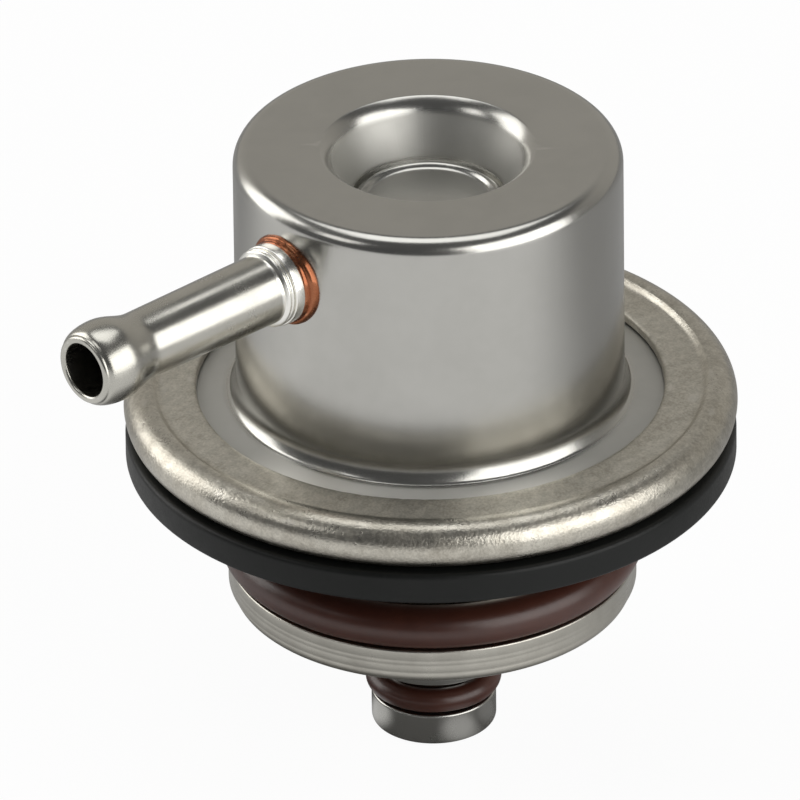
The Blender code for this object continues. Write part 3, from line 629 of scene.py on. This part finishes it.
def rounded(corners, steps=5):
    # corners are (radius, height, rounding); the rounding is cut down where an edge is short
    points = []
    count = len(corners)
    for i, (r, z, rounding) in enumerate(corners):
        if rounding <= 0:
            points.append((r, z))
            continue
        here = Vector((r, z))
        before = Vector(corners[i - 1][:2]) - here
        after = Vector(corners[(i + 1) % count][:2]) - here
        half = before.angle(after) / 2
        back = min(rounding / math.tan(half), before.length * 0.49, after.length * 0.49)
        first, last = here + before.normalized() * back, here + after.normalized() * back
        for k in range(steps + 1):
            t = k / steps
            points.append(tuple(first * (1 - t) ** 2 + here * 2 * t * (1 - t) + last * t * t))
    return points


def smoothPath(points, steps=5):
    # a soft curve through the points
    ends = [points[0], *points, points[-1]]
    path = []
    for i in range(1, len(ends) - 2):
        a, b, c, d = (Vector(p) for p in ends[i - 1 : i + 3])
        for k in range(steps):
            t = k / steps
            square, cube = 2 * a - 5 * b + 4 * c - d, 3 * b - a - 3 * c + d
            path.append(tuple(0.5 * (2 * b + (c - a) * t + square * t**2 + cube * t**3)))
    return path + [tuple(points[-1])]


def turned(name, outline, material, steps=bigSteps, sharp=38.0, alongX=None):
    points = [(max(r, 0.0) * mm, 0.0, z * mm) for r, z in outline]
    count = len(points)
    links = [(i, i + 1) for i in range(count - 1)]
    if outline[0][0] > 1e-6:
        links.append((count - 1, 0))
    mesh = bpy.data.meshes.new(name + "_outline")
    mesh.from_pydata(points, links, [])
    piece = grow(name, mesh, turningTree, {"Steps": steps, "Guide Radius": 0.05, "Material": material})
    if alongX is not None:
        piece.data.transform(Matrix.Translation((0, 0, alongX)) @ Matrix.Rotation(math.radians(90), 4, "Y"))
    return tidyFaces(piece, sharp)


def settle(piece, body, slot, *nodes):
    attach(piece, body)
    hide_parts(*nodes)
    return piece


def wobble(point, size, seed=0.0):
    return noise.noise(Vector(point) / size + Vector((seed, seed * 0.7, -seed)))


# The can with its pressed dimple, flared foot and flange

can = {
    "radius": 15.2,
    "top": 27.1,
    "topRounding": 1.35,
    "flareStart": 7.35,
    "flareRadius": 2.2,
    "flareSweep": 35.0,
    "fillet": 0.5,
    "flange": (18.0, 22.7, 5.45),  # where it lies flat, its edge and its upper face
    "sheet": 1.0,
    # the dimple from its raised inner edge to the wall: radius and depth under the top
    "button": ((4.55, 4.62), (4.8, 4.61), (4.98, 4.54), (5.12, 4.43), (5.25, 4.34), (5.4, 4.30), (5.53, 4.34),
               (5.6, 4.45), (5.64, 4.6), (5.72, 4.66), (5.82, 4.6), (5.9, 4.42), (6.05, 3.95), (6.4, 3.1),
               (6.85, 2.15)),
    "rim": (8.5, 0.3, 30.0, 2.3, 66.0),  # where it starts, tight bend to an angle, wider bend to an angle
    "drill": 2.95,
    "waver": 0.010,
    # in metres: the wavering wall's least radius, least height and most height, and the calm part at the nipple
    "wavy": (0.0148, 0.008, 0.0259),
    "calm": (0.012, 0.005, 0.016),
}


def canOutline(s):
    top, sheet = s["top"], s["sheet"]
    flareCentre = (s["radius"] + s["flareRadius"], s["flareStart"])
    flareEnd = 180 + s["flareSweep"]
    filletCentre = arc(flareCentre, s["flareRadius"] - s["fillet"], flareEnd, flareEnd, 1)[0]
    topCentre = (s["radius"] - s["topRounding"], top - s["topRounding"])
    rimR, tight, tightEnd, wide, wideEnd = s["rim"]
    flatR, flangeR, flangeTop = s["flange"]
    tightArc = arc((rimR, top - tight), tight, 90 + tightEnd, 90, 6)
    turn = math.radians(tightEnd)
    wideCentre = (tightArc[0][0] + wide * math.sin(turn), tightArc[0][1] - wide * math.cos(turn))
    wideArc = arc(wideCentre, wide, 90 + wideEnd, 90 + tightEnd, 14)
    inner = [(r, top - down) for r, down in s["button"]]
    outside = [(inner[0][0] * i / 8, inner[0][1]) for i in range(8)]
    outside += smoothPath([*inner, wideArc[0]], 3)[:-1]
    outside += wideArc[:-1] + tightArc
    outside += [(rimR + 1.0 * i, top) for i in range(1, 5)]
    outside += arc(topCentre, s["topRounding"], 90, 0, 16)
    outside += [(s["radius"], 24.5 - 2.1 * i) for i in range(8)]
    outside += arc(flareCentre, s["flareRadius"], 180, flareEnd, 14)
    outside += arc(filletCentre, s["fillet"], flareEnd, 258, 8)[1:]
    outside += [(17.0, 5.657), (flatR, flangeTop), (20.0, flangeTop), (flangeR, flangeTop)]
    inside = [(flangeR, flangeTop - sheet), (flatR, flangeTop - sheet)]
    inside += arc(filletCentre, s["fillet"] + sheet, 265, flareEnd, 8)
    inside += arc(flareCentre, s["flareRadius"] + sheet, flareEnd, 180, 12)[1:]
    inside += arc(topCentre, s["topRounding"] - sheet, 0, 90, 5)
    inside += arc(wideCentre, wide - sheet, 90, 90 + wideEnd, 10)
    inside += [(7.9, top - 3.0), (6.9, top - 5.1), (5.9, top - 5.55), (0.0, top - 5.55)]
    return outside + inside


def buildCan():
    piece = turned("can_shell", canOutline(can), finish["drawn"])
    hole = bmesh.new()
    turn = Matrix.Rotation(math.radians(90), 4, "Y")
    place = Matrix.Translation((can["radius"] * mm, 0, nippleHeight)) @ turn
    size = {"segments": 64, "radius1": can["drill"] * mm, "radius2": can["drill"] * mm, "depth": 0.006}
    bmesh.ops.create_cone(hole, cap_ends=True, matrix=place, **size)
    cutterMesh = bpy.data.meshes.new("nipple_drill")
    hole.to_mesh(cutterMesh)
    hole.free()
    cutter = linkObject("nipple_drill", cutterMesh)
    boolean = piece.modifiers.new("nippleHole", "BOOLEAN")
    boolean.object = cutter
    boolean.solver = "EXACT"
    bpy.context.view_layer.update()
    graph = bpy.context.evaluated_depsgraph_get()
    piece.data = bpy.data.meshes.new_from_object(piece.evaluated_get(graph))
    piece.modifiers.clear()
    bpy.data.objects.remove(cutter)
    tidyFaces(piece)

    def dent(p):
        # the drawn wall isn't a perfect cylinder
        radius = math.hypot(p.x, p.y)
        (inner, low, high), (out, side, above) = can["wavy"], can["calm"]
        if radius < inner or not low <= p.z <= high or (p.x > out and abs(p.y) < side and p.z > above):
            return p
        shift = -abs(wobble((p.x, p.y, p.z * 0.4), 0.011)) * can["waver"] * mm
        return Vector((p.x * (1 + shift / radius), p.y * (1 + shift / radius), p.z))

    moveVertices(piece, dent)
    return settle(piece, "housing", "drawn_steel", "upper_housing")


buildCan()
print("can: dimple, wall, flare and flange")


# The lower shell: rolled crimp, flange, neck and the neck's foot

crimp = {
    "sheet": 0.7,
    "bead": (22.1, 4.55, 1.9),
    # the lip's upper side, from its cut inner edge over a shallow valley to the bead
    "lip": ((18.3, 5.6), (18.3, 5.95), (18.35, 6.15), (18.55, 6.27), (19.0, 6.27), (19.8, 6.19), (20.6, 6.09),
            (21.1, 6.04), (21.35, 6.10), (21.6, 6.30), (21.77, 6.421)),
    "lipUnder": 5.55,
    "neck": 13.25,
    "neckFoot": (15.1, -9.75),
    "bottom": 2.65,
    "lipWaver": 0.05,
    "lipDip": 0.035,
    # the uneven lip's least height, outer radius and run-out, in metres
    "lipZone": (0.0055, 0.0212, 0.0025),
}


def crimpOutline(s):
    beadR, beadZ, bead = s["bead"]
    sheet, bottom, neck = s["sheet"], s["bottom"], s["neck"]
    footR, footTop = s["neckFoot"]
    outside = smoothPath(s["lip"], 4)
    outside += arc((beadR, beadZ), bead, 98, -90, 36)
    outside += rounded([(17.0, bottom, 0), (neck, bottom, 1.0), (neck, footTop, 0.5), (footR, footTop, 0.1),
                        (footR, footTop - sheet, 0.1), (neck - sheet, footTop - sheet, 1.2),
                        (neck - sheet, bottom + sheet, 1.7), (18.0, bottom + sheet, 0)], 7)
    low = 180 - math.degrees(math.asin((s["lipUnder"] - beadZ) / (bead - sheet)))
    return outside + arc((beadR, beadZ), bead - sheet, -90, low, 18)


def buildCrimp():
    piece = turned("crimp_shell", crimpOutline(crimp), finish["plated"], 288)

    def roll(p):
        # the rolled lip is slightly uneven, with small puckers at its inner edge
        radius = math.hypot(p.x, p.y)
        low, outer, fade = crimp["lipZone"]
        if p.z < low or radius > outer:
            return p
        near = max(0.0, min(1.0, (outer - radius) / fade))
        angle = math.atan2(p.y, p.x)
        around = Vector((math.cos(angle), math.sin(angle), 0.0))
        slow = noise.noise(around * 3.1) + 0.5 * noise.noise(around * 11.0 + Vector((5, 1, 0)))
        fine = noise.noise(around * 46.0 + Vector((0, 9, 2)))
        shift = (slow * 0.7 + fine * 0.5) * crimp["lipWaver"] * mm * near
        lower = max(0.0, fine * 0.8 + slow * 0.3) * crimp["lipDip"] * mm * near
        return Vector((p.x * (1 + shift / radius), p.y * (1 + shift / radius), p.z - lower))

    moveVertices(piece, roll)
    return settle(piece, "housing", "plated_steel", "lower_housing")


buildCrimp()
print("crimp: rolled lip, bead, neck")


# Black seat ring

seatRing = {"outer": 23.9, "bore": 13.7, "top": 2.55, "edge": 0.5}


def buildSeatRing():
    s = seatRing
    outer, bore, top = s["outer"], s["bore"], s["top"]
    outline = rounded([(outer, top, s["edge"]), (outer, 0.0, 0.35), (bore, 0.0, 0.2), (bore, top - 1.2, 0.2),
                       (bore + 1.2, top, 0.2), (19.0, top, 0)], 7)
    piece = turned("seat_ring", outline, finish["polymer"])
    return settle(piece, "housing", "black_polymer", "support_ring")


buildSeatRing()


# Collar with the drilled bottom plate

collar = {
    "radius": 16.0,
    "top": -8.95,
    "topEdge": 0.18,
    "lip": 13.9,
    "plateTop": -10.55,
    "plateBottom": -11.95,
    "bore": 4.3,
    "grooves": (-9.85, -10.25, -10.9),
    "grooveDepth": 0.012,
    "holes": 8,
    "holeRadius": 1.5,
    "holeCircle": 9.3,
}


def buildCollar():
    s = collar
    wall = s["radius"] - 0.7
    outline = rounded([(s["lip"], s["top"] - 0.7, 0.1), (s["lip"], s["top"], 0.15),
                       (s["radius"], s["top"], s["topEdge"]), (s["radius"], -9.6, 0)], 8)[:-1]
    for z in s["grooves"]:
        outline += [(s["radius"], z + 0.10), (s["radius"] - s["grooveDepth"], z), (s["radius"], z - 0.07)]
    outline += rounded([(s["radius"], s["plateBottom"], 0.8), (s["bore"], s["plateBottom"], 0.15),
                        (s["bore"], s["plateTop"], 0.15), (wall, s["plateTop"], 0.25),
                        (wall, s["top"] - 0.7, 0.1)], 8)
    piece = turned("collar_cap", outline, finish["collar"])
    inputs = {"Count": s["holes"], "Circle Radius": s["holeCircle"] * mm, "Hole Radius": s["holeRadius"] * mm,
              "Height": (s["plateTop"] + s["plateBottom"]) / 2 * mm, "Material": finish["collar"]}
    plain = piece.data
    bpy.data.objects.remove(piece)
    piece = tidyFaces(grow("collar_cap", plain, drillTree, inputs))
    return settle(piece, "housing", "plated_steel", "base_cap")


buildCollar()
print("collar: drilled plate")


# Strainer over the inlet holes

strainer = {"inner": 6.2, "outer": 12.3, "rim": 0.6, "bottom": -10.45, "height": 0.9, "pitch": 0.55,
            "wire": 0.15}


def buildStrainer():
    s = strainer
    top = s["bottom"] + s["height"]
    for name, low, high in (("strainer_rim_inner", s["inner"], s["inner"] + s["rim"]),
                            ("strainer_rim_outer", s["outer"] - s["rim"], s["outer"])):
        outline = rounded([(low, s["bottom"], 0.12), (low, top, 0.2), (high, top, 0.2),
                           (high, s["bottom"], 0.12)], 4)
        settle(turned(name, outline, finish["strainer"], 128), "housing", "fine_mesh", "inlet_strainer")
    inputs = {"Inner Radius": (s["inner"] + s["rim"] - 0.1) * mm,
              "Outer Radius": (s["outer"] - s["rim"] + 0.1) * mm,
              "Pitch": s["pitch"] * mm, "Wire": s["wire"] * mm, "Height": (s["bottom"] + 0.3) * mm,
              "Rows": round(2 * s["outer"] / s["pitch"]), "Material": finish["strainer"]}
    weave = grow("strainer_weave", bpy.data.meshes.new("weave_start"), weaveTree, inputs)
    return settle(tidyFaces(weave, 80), "housing", "fine_mesh", "inlet_strainer")


buildStrainer()


# Return tube with its foot, and the hard seat in its top

outlet = {
    "bore": 2.7,
    "tube": 3.9,
    "groove": 3.35,
    "upper": (5.4, -16.9, -18.3),
    "foot": (4.9, -21.35, -24.0),
    "seat": ((1.2, -3.25, 0.12), (3.3, -3.25, 0.12), (3.3, -3.9, 0.1), (2.6, -3.9, 0.05), (2.6, -5.3, 0.1),
             (2.0, -5.3, 0.05), (1.2, -4.2, 0.1)),
}


def buildOutlet():
    s = outlet
    tube, (upper, upperTop, upperEnd), (foot, footTop, footEnd) = s["tube"], s["upper"], s["foot"]
    corners = [(s["bore"], -4.0, 0.15), (tube, -4.0, 0.15), (tube, -9.55, 0.1), (5.6, -9.55, 0.2),
               (5.6, -10.45, 0.1), (tube, -10.45, 0.05), (tube, -12.05, 0.05), (5.0, -12.05, 0.2),
               (5.0, -12.5, 0.3), (tube, -12.95, 0.2), (tube, upperTop, 0.4), (upper, upperTop, 0.25),
               (upper, upperEnd, 0.12), (s["groove"], upperEnd, 0.2), (s["groove"], footTop, 0.2),
               (foot, footTop, 0.22), (foot, footEnd, 0.42), (s["bore"], footEnd, 0.25)]
    piece = turned("outlet_tube", rounded(corners, 6), finish["foot"], smallSteps)
    settle(piece, "housing", "drawn_steel", "return_tube")
    piece = turned("orifice_seat", rounded(s["seat"]), finish["hard"], 80)
    return settle(piece, "housing", "hard_steel", "valve_seat")


buildOutlet()


# Vacuum nipple along X

nipple = {
    "tip": 35.9,
    "inner": 13.4,
    "root": 2.8,
    "neck": (30.1, 2.68),
    "bead": (33.5, 3.35),
    "mouth": 2.45,
    "bore": 2.15,
    "ridges": (17.22, 16.88),
    "ridge": 3.16,
    "valley": 2.98,
    "collar": (3.28, 16.7, 15.8),
}


def buildNipple():
    s = nipple
    beadX, bead = s["bead"]
    neckX, neck = s["neck"]
    front = s["tip"] - 0.3 - beadX
    rise = bead - s["mouth"] - 0.3
    outline = rounded([(s["bore"], s["tip"] - 0.8, 0), (s["bore"] + 0.02, s["tip"], 0.3),
                       (s["mouth"] + 0.3, s["tip"], 0.34), (s["mouth"] + 0.42, s["tip"] - 0.62, 0)], 8)[:-1]
    for i in range(1, 13):
        turn = math.radians(90 * i / 12)
        outline.append((bead - rise * (1 - math.sin(turn)), beadX + front * math.cos(turn)))
    for i in range(1, 13):
        share = i / 12
        fall = (1 - math.cos(math.pi * share)) / 2
        outline.append((bead - (bead - neck) * fall, beadX - (beadX - neckX) * share))
    outline += [(neck + (s["root"] - neck) * k / 6, neckX - (neckX - 17.6) * k / 6) for k in range(1, 6)]
    outline += [(s["root"], 17.44)]
    for x in s["ridges"]:
        top = arc((s["ridge"] - 0.12, x), 0.12, 60, -60, 4)
        outline += [(s["valley"], x + 0.15), *top, (s["valley"], x - 0.15)]
    wide, wideTop, wideEnd = s["collar"]
    outline += rounded([(s["valley"], wideTop + 0.02, 0), (wide, wideTop, 0.13), (wide, wideEnd, 0.08),
                        (s["root"], wideEnd, 0.05), (s["root"], s["inner"], 0.1),
                        (s["bore"], s["inner"], 0.1), (s["bore"], 20.0, 0)], 5)[1:]
    piece = turned("hose_nipple", outline, finish["nipple"], 96, 38.0, nippleHeight)
    return settle(piece, "housing", "drawn_steel", "vacuum_nipple")


buildNipple()
print("nipple: bead, tube and ridges")


# Copper fillet between the nipple and the can

braze = {
    "steps": 144,
    # radius and lift off the wall, with the two ridges
    "section": ((2.85, 0.76), (2.98, 0.80), (3.14, 0.76), (3.25, 0.66), (3.30, 0.54), (3.35, 0.45),
                (3.44, 0.42), (3.55, 0.37), (3.63, 0.27), (3.68, 0.14), (3.70, 0.04), (3.70, -0.25),
                (3.55, -0.6), (2.9, -0.6), (2.85, 0.2)),
    "lump": 0.05,
    "lumpSize": 0.0011,
}


def buildBraze():
    s = braze
    wall = can["radius"]
    verts, faces = [], []
    section = smoothPath(s["section"], 2)
    count = len(section)
    for i in range(s["steps"]):
        turn = math.tau * i / s["steps"]
        for rho, lift in section:
            y, z = rho * math.cos(turn), rho * math.sin(turn)
            wallX = math.sqrt(wall**2 - y * y)
            flat = max(0.0, min(1.0, lift / 0.75))
            x = wallX * (1 - flat) + (wall - 0.06) * flat + lift * (0.86 if lift > 0 else 1.0)
            point = Vector((x, y, z)) * mm
            lump = s["lump"] if lift > 0.02 else 0.0
            swell = wobble(point, s["lumpSize"], 3.0) * lump
            swell += wobble(point, s["lumpSize"] * 0.45, 7.0) * lump * 0.35
            scale = 1 + min(swell, 0.0 if rho > 3.66 else 0.06) / rho
            verts.append((x * mm + swell * 0.5 * mm, y * scale * mm, z * scale * mm + nippleHeight))
    for i in range(s["steps"]):
        j = (i + 1) % s["steps"]
        for k in range(count):
            m = (k + 1) % count
            faces.append((i * count + k, j * count + k, j * count + m, i * count + m))
    piece = meshPiece("braze_fillet", verts, faces, finish["copper"])
    return settle(tidyFaces(piece, 60), "housing", "copper_braze", "braze_ring")


buildBraze()


# Seals

seals = {
    "neck_seal": {"mean": 15.05, "section": 1.7, "z": -7.2, "steps": bigSteps, "flash": 0.02,
                  "node": "large_o_ring"},
    "foot_seal": {"mean": 4.4, "section": 0.95, "z": -20.2, "steps": smallSteps, "flash": 0.012,
                  "node": "small_o_ring"},
}


def buildSeals():
    for name, s in seals.items():
        outline = []
        for i in range(48):
            turn = math.tau * i / 48
            swell = s["section"] + s["flash"] * max(0.0, 1 - abs(math.degrees(turn) - 180) / 6)
            outline.append((s["mean"] + swell * math.cos(turn), s["z"] + swell * math.sin(turn)))
        piece = turned(name, outline, finish["rubber"], s["steps"], 80)

        def sag(p, s=s):
            shift = wobble(p, 0.006, 2.0) * 0.025 * mm
            radius = math.hypot(p.x, p.y)
            return Vector((p.x, p.y, p.z + shift * min(1.0, radius / (s["mean"] * mm))))

        moveVertices(piece, sag)
        settle(piece, "housing", "brown_rubber", s["node"])


buildSeals()
print("seals and braze")


# Inside: springs, diaphragm, valve

springs = {
    "preload_spring": {"Turns": 5.0, "End Turns": 0.75, "Mean Radius": 8.9, "Wire": 2.0, "Bottom": 6.45,
                       "Top": 19.35, "Points": 361, "node": "main_spring", "body": "housing"},
    "ball_tension_spring": {"Turns": 2.5, "End Turns": 0.5, "Mean Radius": 1.05, "Wire": 0.5, "Bottom": 2.26,
                            "Top": 4.05, "Points": 121, "node": "ball_spring", "body": "valve_carrier"},
}


def buildSprings():
    for name, s in springs.items():
        inputs = {label: s[label] for label in ("Turns", "End Turns", "Points")}
        inputs |= {label: s[label] * mm for label in ("Mean Radius", "Wire", "Bottom", "Top")}
        inputs["Material"] = finish["spring"]
        piece = tidyFaces(grow(name, bpy.data.meshes.new(name + "_start"), springTree, inputs), 50)
        settle(piece, s["body"], "spring_steel", s["node"])
        if s["body"] == "housing":
            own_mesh(piece)


buildSprings()

insides = {
    "spring_cap_pressing": {
        "node": "spring_cap", "slot": "plated_steel", "finish": "collar", "body": "housing",
        "corners": [(0, 21.45, 0), (10.6, 21.45, 0.3), (10.6, 20.45, 0.1), (7.4, 20.45, 0.3),
                    (7.4, 19.35, 0.3), (6.3, 19.35, 0.3), (6.3, 20.45, 0.3), (0, 20.45, 0)],
    },
    "lower_spring_seat": {
        "node": "spring_plate", "slot": "plated_steel", "finish": "collar", "body": "valve_carrier",
        "corners": [(6.3, 6.45, 0.3), (7.4, 6.45, 0.3), (7.4, 5.35, 0.3), (10.6, 5.35, 0.3),
                    (10.6, 4.45, 0.1), (2.65, 4.45, 0.05), (2.65, 5.35, 0.05), (6.3, 5.35, 0.3)],
    },
    "clamp_washer": {
        "node": "diaphragm_washer", "slot": "plated_steel", "finish": "collar", "body": "valve_carrier",
        "corners": [(10.0, 3.35, 0.2), (10.4, 2.95, 0.15), (10.4, 2.55, 0.1), (2.65, 2.55, 0.05),
                    (2.65, 3.35, 0.05)],
    },
    "socket_ring": {
        "node": "ball_retainer", "slot": "hard_steel", "finish": "hard", "body": "valve_carrier",
        "corners": [(2.9, -2.1, 0.05), (3.5, -2.1, 0.1), (3.5, -2.8, 0.1), (2.55, -2.8, 0.05)],
    },
}
valve = {
    "holder": ((0, 6.25, 0), (3.4, 6.25, 0.35), (3.4, 5.45, 0.1), (2.5, 5.45, 0.1), (2.5, 2.45, 0.15),
               (5.6, 2.45, 0.15), (5.6, 1.55, 0.2), (4.4, 1.55, 0.2), (4.4, -2.9, 0.25), (3.6, -2.9, 0.1),
               (3.6, -2.0, 0.08), (3.15, -2.0, 0)),
    "springBore": ((1.5, 3.0, 0), (1.5, 4.4, 0.1), (0, 4.4, 0)),
    "centre": (0, -0.9),
    "socket": (3.15, 61.56),  # its radius and how far up it reaches
    "ball": (3.0, -46.2),  # its radius and where the ground flat starts
    "groundFlat": ((1.99, -3.1), (1.0, -3.1), (0, -3.1)),
}


def buildInsides():
    for name, s in insides.items():
        piece = turned(name, rounded(s["corners"]), finish[s["finish"]], 128)
        settle(piece, s["body"], s["slot"], s["node"])
    s = valve
    socket, reach = s["socket"]
    holder = rounded(s["holder"]) + arc(s["centre"], socket, 0, reach, 16) + rounded(s["springBore"])
    piece = turned("ball_socket", holder, finish["hard"], 96)
    settle(piece, "valve_carrier", "hard_steel", "valve_holder")
    ball, flatStart = s["ball"]
    ball = arc(s["centre"], ball, 90, flatStart, 34) + list(s["groundFlat"])
    piece = turned("ground_ball", ball, finish["hard"], 96, 50)
    settle(piece, "swivel_ball", "hard_steel", "valve_ball")


buildInsides()

cloth = {
    "sheet": 0.9,
    "bottom": 3.45,
    "rollRadius": 12.8,
    "roll": 1.8,
    "hole": 2.65,
    "outer": 22.4,
    "sectors": 8,
    "steps": 14,
}


def buildDiaphragm():
    # eight sectors, each a slice of the same turned outline, so that their edges stay together
    s = cloth
    bottom, top = s["bottom"], s["bottom"] + s["sheet"]
    lift = math.degrees(math.asin(s["sheet"] / s["roll"]))
    outline = [(s["outer"], top), (s["outer"], bottom)]
    centre = (s["rollRadius"], bottom)
    outline += [(19.0, bottom), (16.5, bottom)] + arc(centre, s["roll"] - s["sheet"], 0, 180, 14)
    outline += [(9.0, bottom), (6.0, bottom), (s["hole"], bottom), (s["hole"], top), (6.0, top), (9.0, top)]
    outline += arc(centre, s["roll"], 180 - lift, lift, 14) + [(16.5, top), (19.0, top)]
    count, steps = len(outline), s["steps"]
    for i in range(s["sectors"]):
        middle = math.tau * i / s["sectors"]
        half = math.pi / s["sectors"]
        turns = [middle - half + 2 * half * k / steps for k in range(steps + 1)]
        verts = [(r * math.cos(t) * mm, r * math.sin(t) * mm, z * mm) for t in turns for r, z in outline]
        edges = [(k * count + j, k * count + (j + 1) % count) for k in range(steps) for j in range(count)]
        faces = [(a, b, b + count, a + count) for a, b in edges]
        faces += [tuple(range(count)), tuple(steps * count + j for j in reversed(range(count)))]
        piece = tidyFaces(meshPiece(f"diaphragm_sector_{i + 1}", verts, faces, finish["cloth"]), 50)
        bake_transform(piece)
        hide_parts("diaphragm")


buildDiaphragm()
print("inside: springs, diaphragm and valve")


# Floor, lamps, world and camera

studio = {
    "azimuth": 138.25,
    "elevation": 30.0,
    "roll": 0.674,
    "depth": 2.0,
    "aim": (0.0, 0.0, 0.00372),
    "aimRight": 0.0024021,
    "aimUp": -0.0006644,
    "lens": 1151.37,
    "floorZ": -0.02402,
    "floorTone": 0.90,
    "floorShare": 0.95,
    # painted reflection: for glossy rays the floor glows white in front and grey behind, with a painted shadow
    # at the foot, and the metal mirrors it
    "glossShare": 0.72,
    "rearTone": 0.22,
    "front": (-20.0, -0.05, 0.035),  # its turn, and the distances where the grey ends and the white starts
    "paintedFootShadow": (-40.0, 0.011, 0.008, 0.046),  # painted shadow at the foot: turn and distance of its centre, its dark and its full reach
    # painted light: glowing pools on the floor beside the foot, which the foot mirrors: turn, distance, size
    # and level
    "paintedFootLight": ((32, 0.0078, 0.0030, 0.62), (-84, 0.0076, 0.0030, 0.95), (80, 0.0078, 0.0026, 0.25)),
}


def towards(turn, rise):
    # a direction from the object, turned from the camera's side to the picture's right, and raised
    azimuth = math.radians(studio["azimuth"] + turn)
    rise = math.radians(rise)
    return Vector((math.sin(azimuth) * math.cos(rise), -math.cos(azimuth) * math.cos(rise), math.sin(rise)))


def buildCamera():
    s = studio
    back = towards(0.0, s["elevation"])
    right = Vector((math.cos(math.radians(s["azimuth"])), math.sin(math.radians(s["azimuth"])), 0.0))
    up = back.cross(right)
    roll = math.radians(s["roll"])
    right, up = right * math.cos(roll) - up * math.sin(roll), up * math.cos(roll) + right * math.sin(roll)
    place = Vector(s["aim"]) + back * s["depth"] - right * s["aimRight"] - up * s["aimUp"]
    data = bpy.data.cameras.new("photoCamera")
    data.lens = s["lens"]
    data.sensor_width = 36.0
    data.clip_start, data.clip_end = 0.01, 20.0
    camera = linkObject("photoCamera", data)
    turn = Matrix((right, up, back)).transposed().to_4x4()
    camera.matrix_world = Matrix.Translation(place) @ turn
    bpy.context.scene.camera = camera


buildCamera()

warm = (1.0, 0.99, 0.97)
softBoxes = {
    "rightBox": {"turn": 54, "rise": 22, "distance": 0.7, "size": (0.82, 0.62), "level": 2.7, "tint": warm},
    "leftCard": {"turn": -60, "rise": 40, "distance": 0.7, "size": (0.24, 0.20), "level": 1.9, "tint": warm},
    "leftBackBox": {"turn": -112, "rise": 24, "distance": 0.7, "size": (0.42, 0.60), "level": 2.5,
                    "tint": warm},
    "topBox": {"turn": 180, "rise": 76, "distance": 0.8, "size": (0.62, 0.5), "level": 1.9,
               "tint": (1, 1, 0.99)},
}


def buildLamps():
    for name, s in softBoxes.items():
        data = bpy.data.lights.new(name, "AREA")
        data.shape = "RECTANGLE"
        data.size, data.size_y = s["size"]
        data.energy = s["level"] * math.pi * s["size"][0] * s["size"][1]
        data.color = s["tint"]
        lamp = linkObject(name, data)
        out = towards(s["turn"], s["rise"])
        lamp.location = out * s["distance"]
        lamp.rotation_mode = "QUATERNION"
        lamp.rotation_quaternion = out.to_track_quat("Z", "Y")


buildLamps()

room = {
    "dark": (0.10, 0.101, 0.102),  # the camera's side of the room
    "grey": (0.49, 0.47, 0.435),  # the wall behind the object
    "wallTop": (0.62, 0.70),  # the sines of the heights between which the grey ends
    "sides": (-0.25, 0.75),  # how far round the wall comes
    "seen": (1.0, 1.0, 1.0),
}


def buildWorld():
    world = bpy.data.worlds.new("studioRoom")
    bpy.context.scene.world = world
    world.use_nodes = True
    tree = world.node_tree
    place = addNode(tree, "ShaderNodeTexCoord")["Generated"]
    behind = vectorMaths(tree, "DOT_PRODUCT", place, towards(180.0, 0.0))
    height = addNode(tree, "ShaderNodeSeparateXYZ", {0: place})[2]
    share = times(tree, remap(tree, behind, *room["sides"]), remap(tree, height, *room["wallTop"], 1.0, 0.0))
    tone = mixColour(tree, share, room["dark"], room["grey"])
    seen = addNode(tree, "ShaderNodeLightPath")["Is Camera Ray"]
    tone = mixColour(tree, seen, tone, room["seen"])
    setInputs(tree, tree.nodes["Background"], {"Color": tone, "Strength": 1.0})


buildWorld()


def buildFloor():
    s = studio
    shape = bmesh.new()
    bmesh.ops.create_grid(shape, x_segments=1, y_segments=1, size=3.0)
    mesh = bpy.data.meshes.new("studioFloor")
    shape.to_mesh(mesh)
    shape.free()
    made, tree, shader = newFinish("palePaper")
    place = addNode(tree, "ShaderNodeTexCoord")["Object"]
    fibre = noiseOf(tree, place, 900.0, 3.0)
    shade = mixColour(tree, fibre, (s["floorTone"],) * 3, (s["floorTone"] * 1.02,) * 3)
    setInputs(tree, shader, {"Base Color": shade, "Roughness": 0.8, "Specular IOR Level": 0.1})
    rays = addNode(tree, "ShaderNodeLightPath")

    def distanceTo(turn, out):
        return vectorMaths(tree, "LENGTH", vectorMaths(tree, "SUBTRACT", place, towards(turn, 0.0) * out))

    # painted shadow of the object in the floor's glow, dark near the foot
    turn, out, near, far = s["paintedFootShadow"]
    paintedShadowFade = remap(tree, distanceTo(turn, out), near, far)
    # painted reflection: the floor's glow is grey behind and white in front
    turn, near, far = s["front"]
    front = remap(tree, vectorMaths(tree, "DOT_PRODUCT", place, towards(turn, 0.0)), near, far)
    front = plus(tree, times(tree, front, 1.0 - s["rearTone"]), s["rearTone"])
    seen = times(tree, rays["Is Camera Ray"], s["floorShare"])
    seen = maths(tree, "MAXIMUM", seen, times(tree, rays["Is Glossy Ray"], s["glossShare"]))
    glow = maths(tree, "MAXIMUM", rays["Is Camera Ray"], times(tree, paintedShadowFade, front))
    # painted light: glowing pools on the floor beside the foot
    for turn, out, size, level in s["paintedFootLight"]:
        pool = remap(tree, distanceTo(turn, out), size * 0.5, size * 1.4, level, 0.0)
        glow = maths(tree, "MAXIMUM", glow, pool)
    glow = addNode(tree, "ShaderNodeEmission", {"Color": (1, 1, 1, 1), "Strength": glow})[0]
    both = addNode(tree, "ShaderNodeMixShader", {0: seen, 1: shader.outputs[0], 2: glow})[0]
    tree.links.new(both, tree.nodes["Material Output"].inputs["Surface"])
    mesh.materials.append(made)
    floor = linkObject("studioFloor", mesh)
    floor.location.z = s["floorZ"]


buildFloor()
bpy.context.scene.view_settings.view_transform = "Standard"
print("studio: camera, floor, lamps and room")
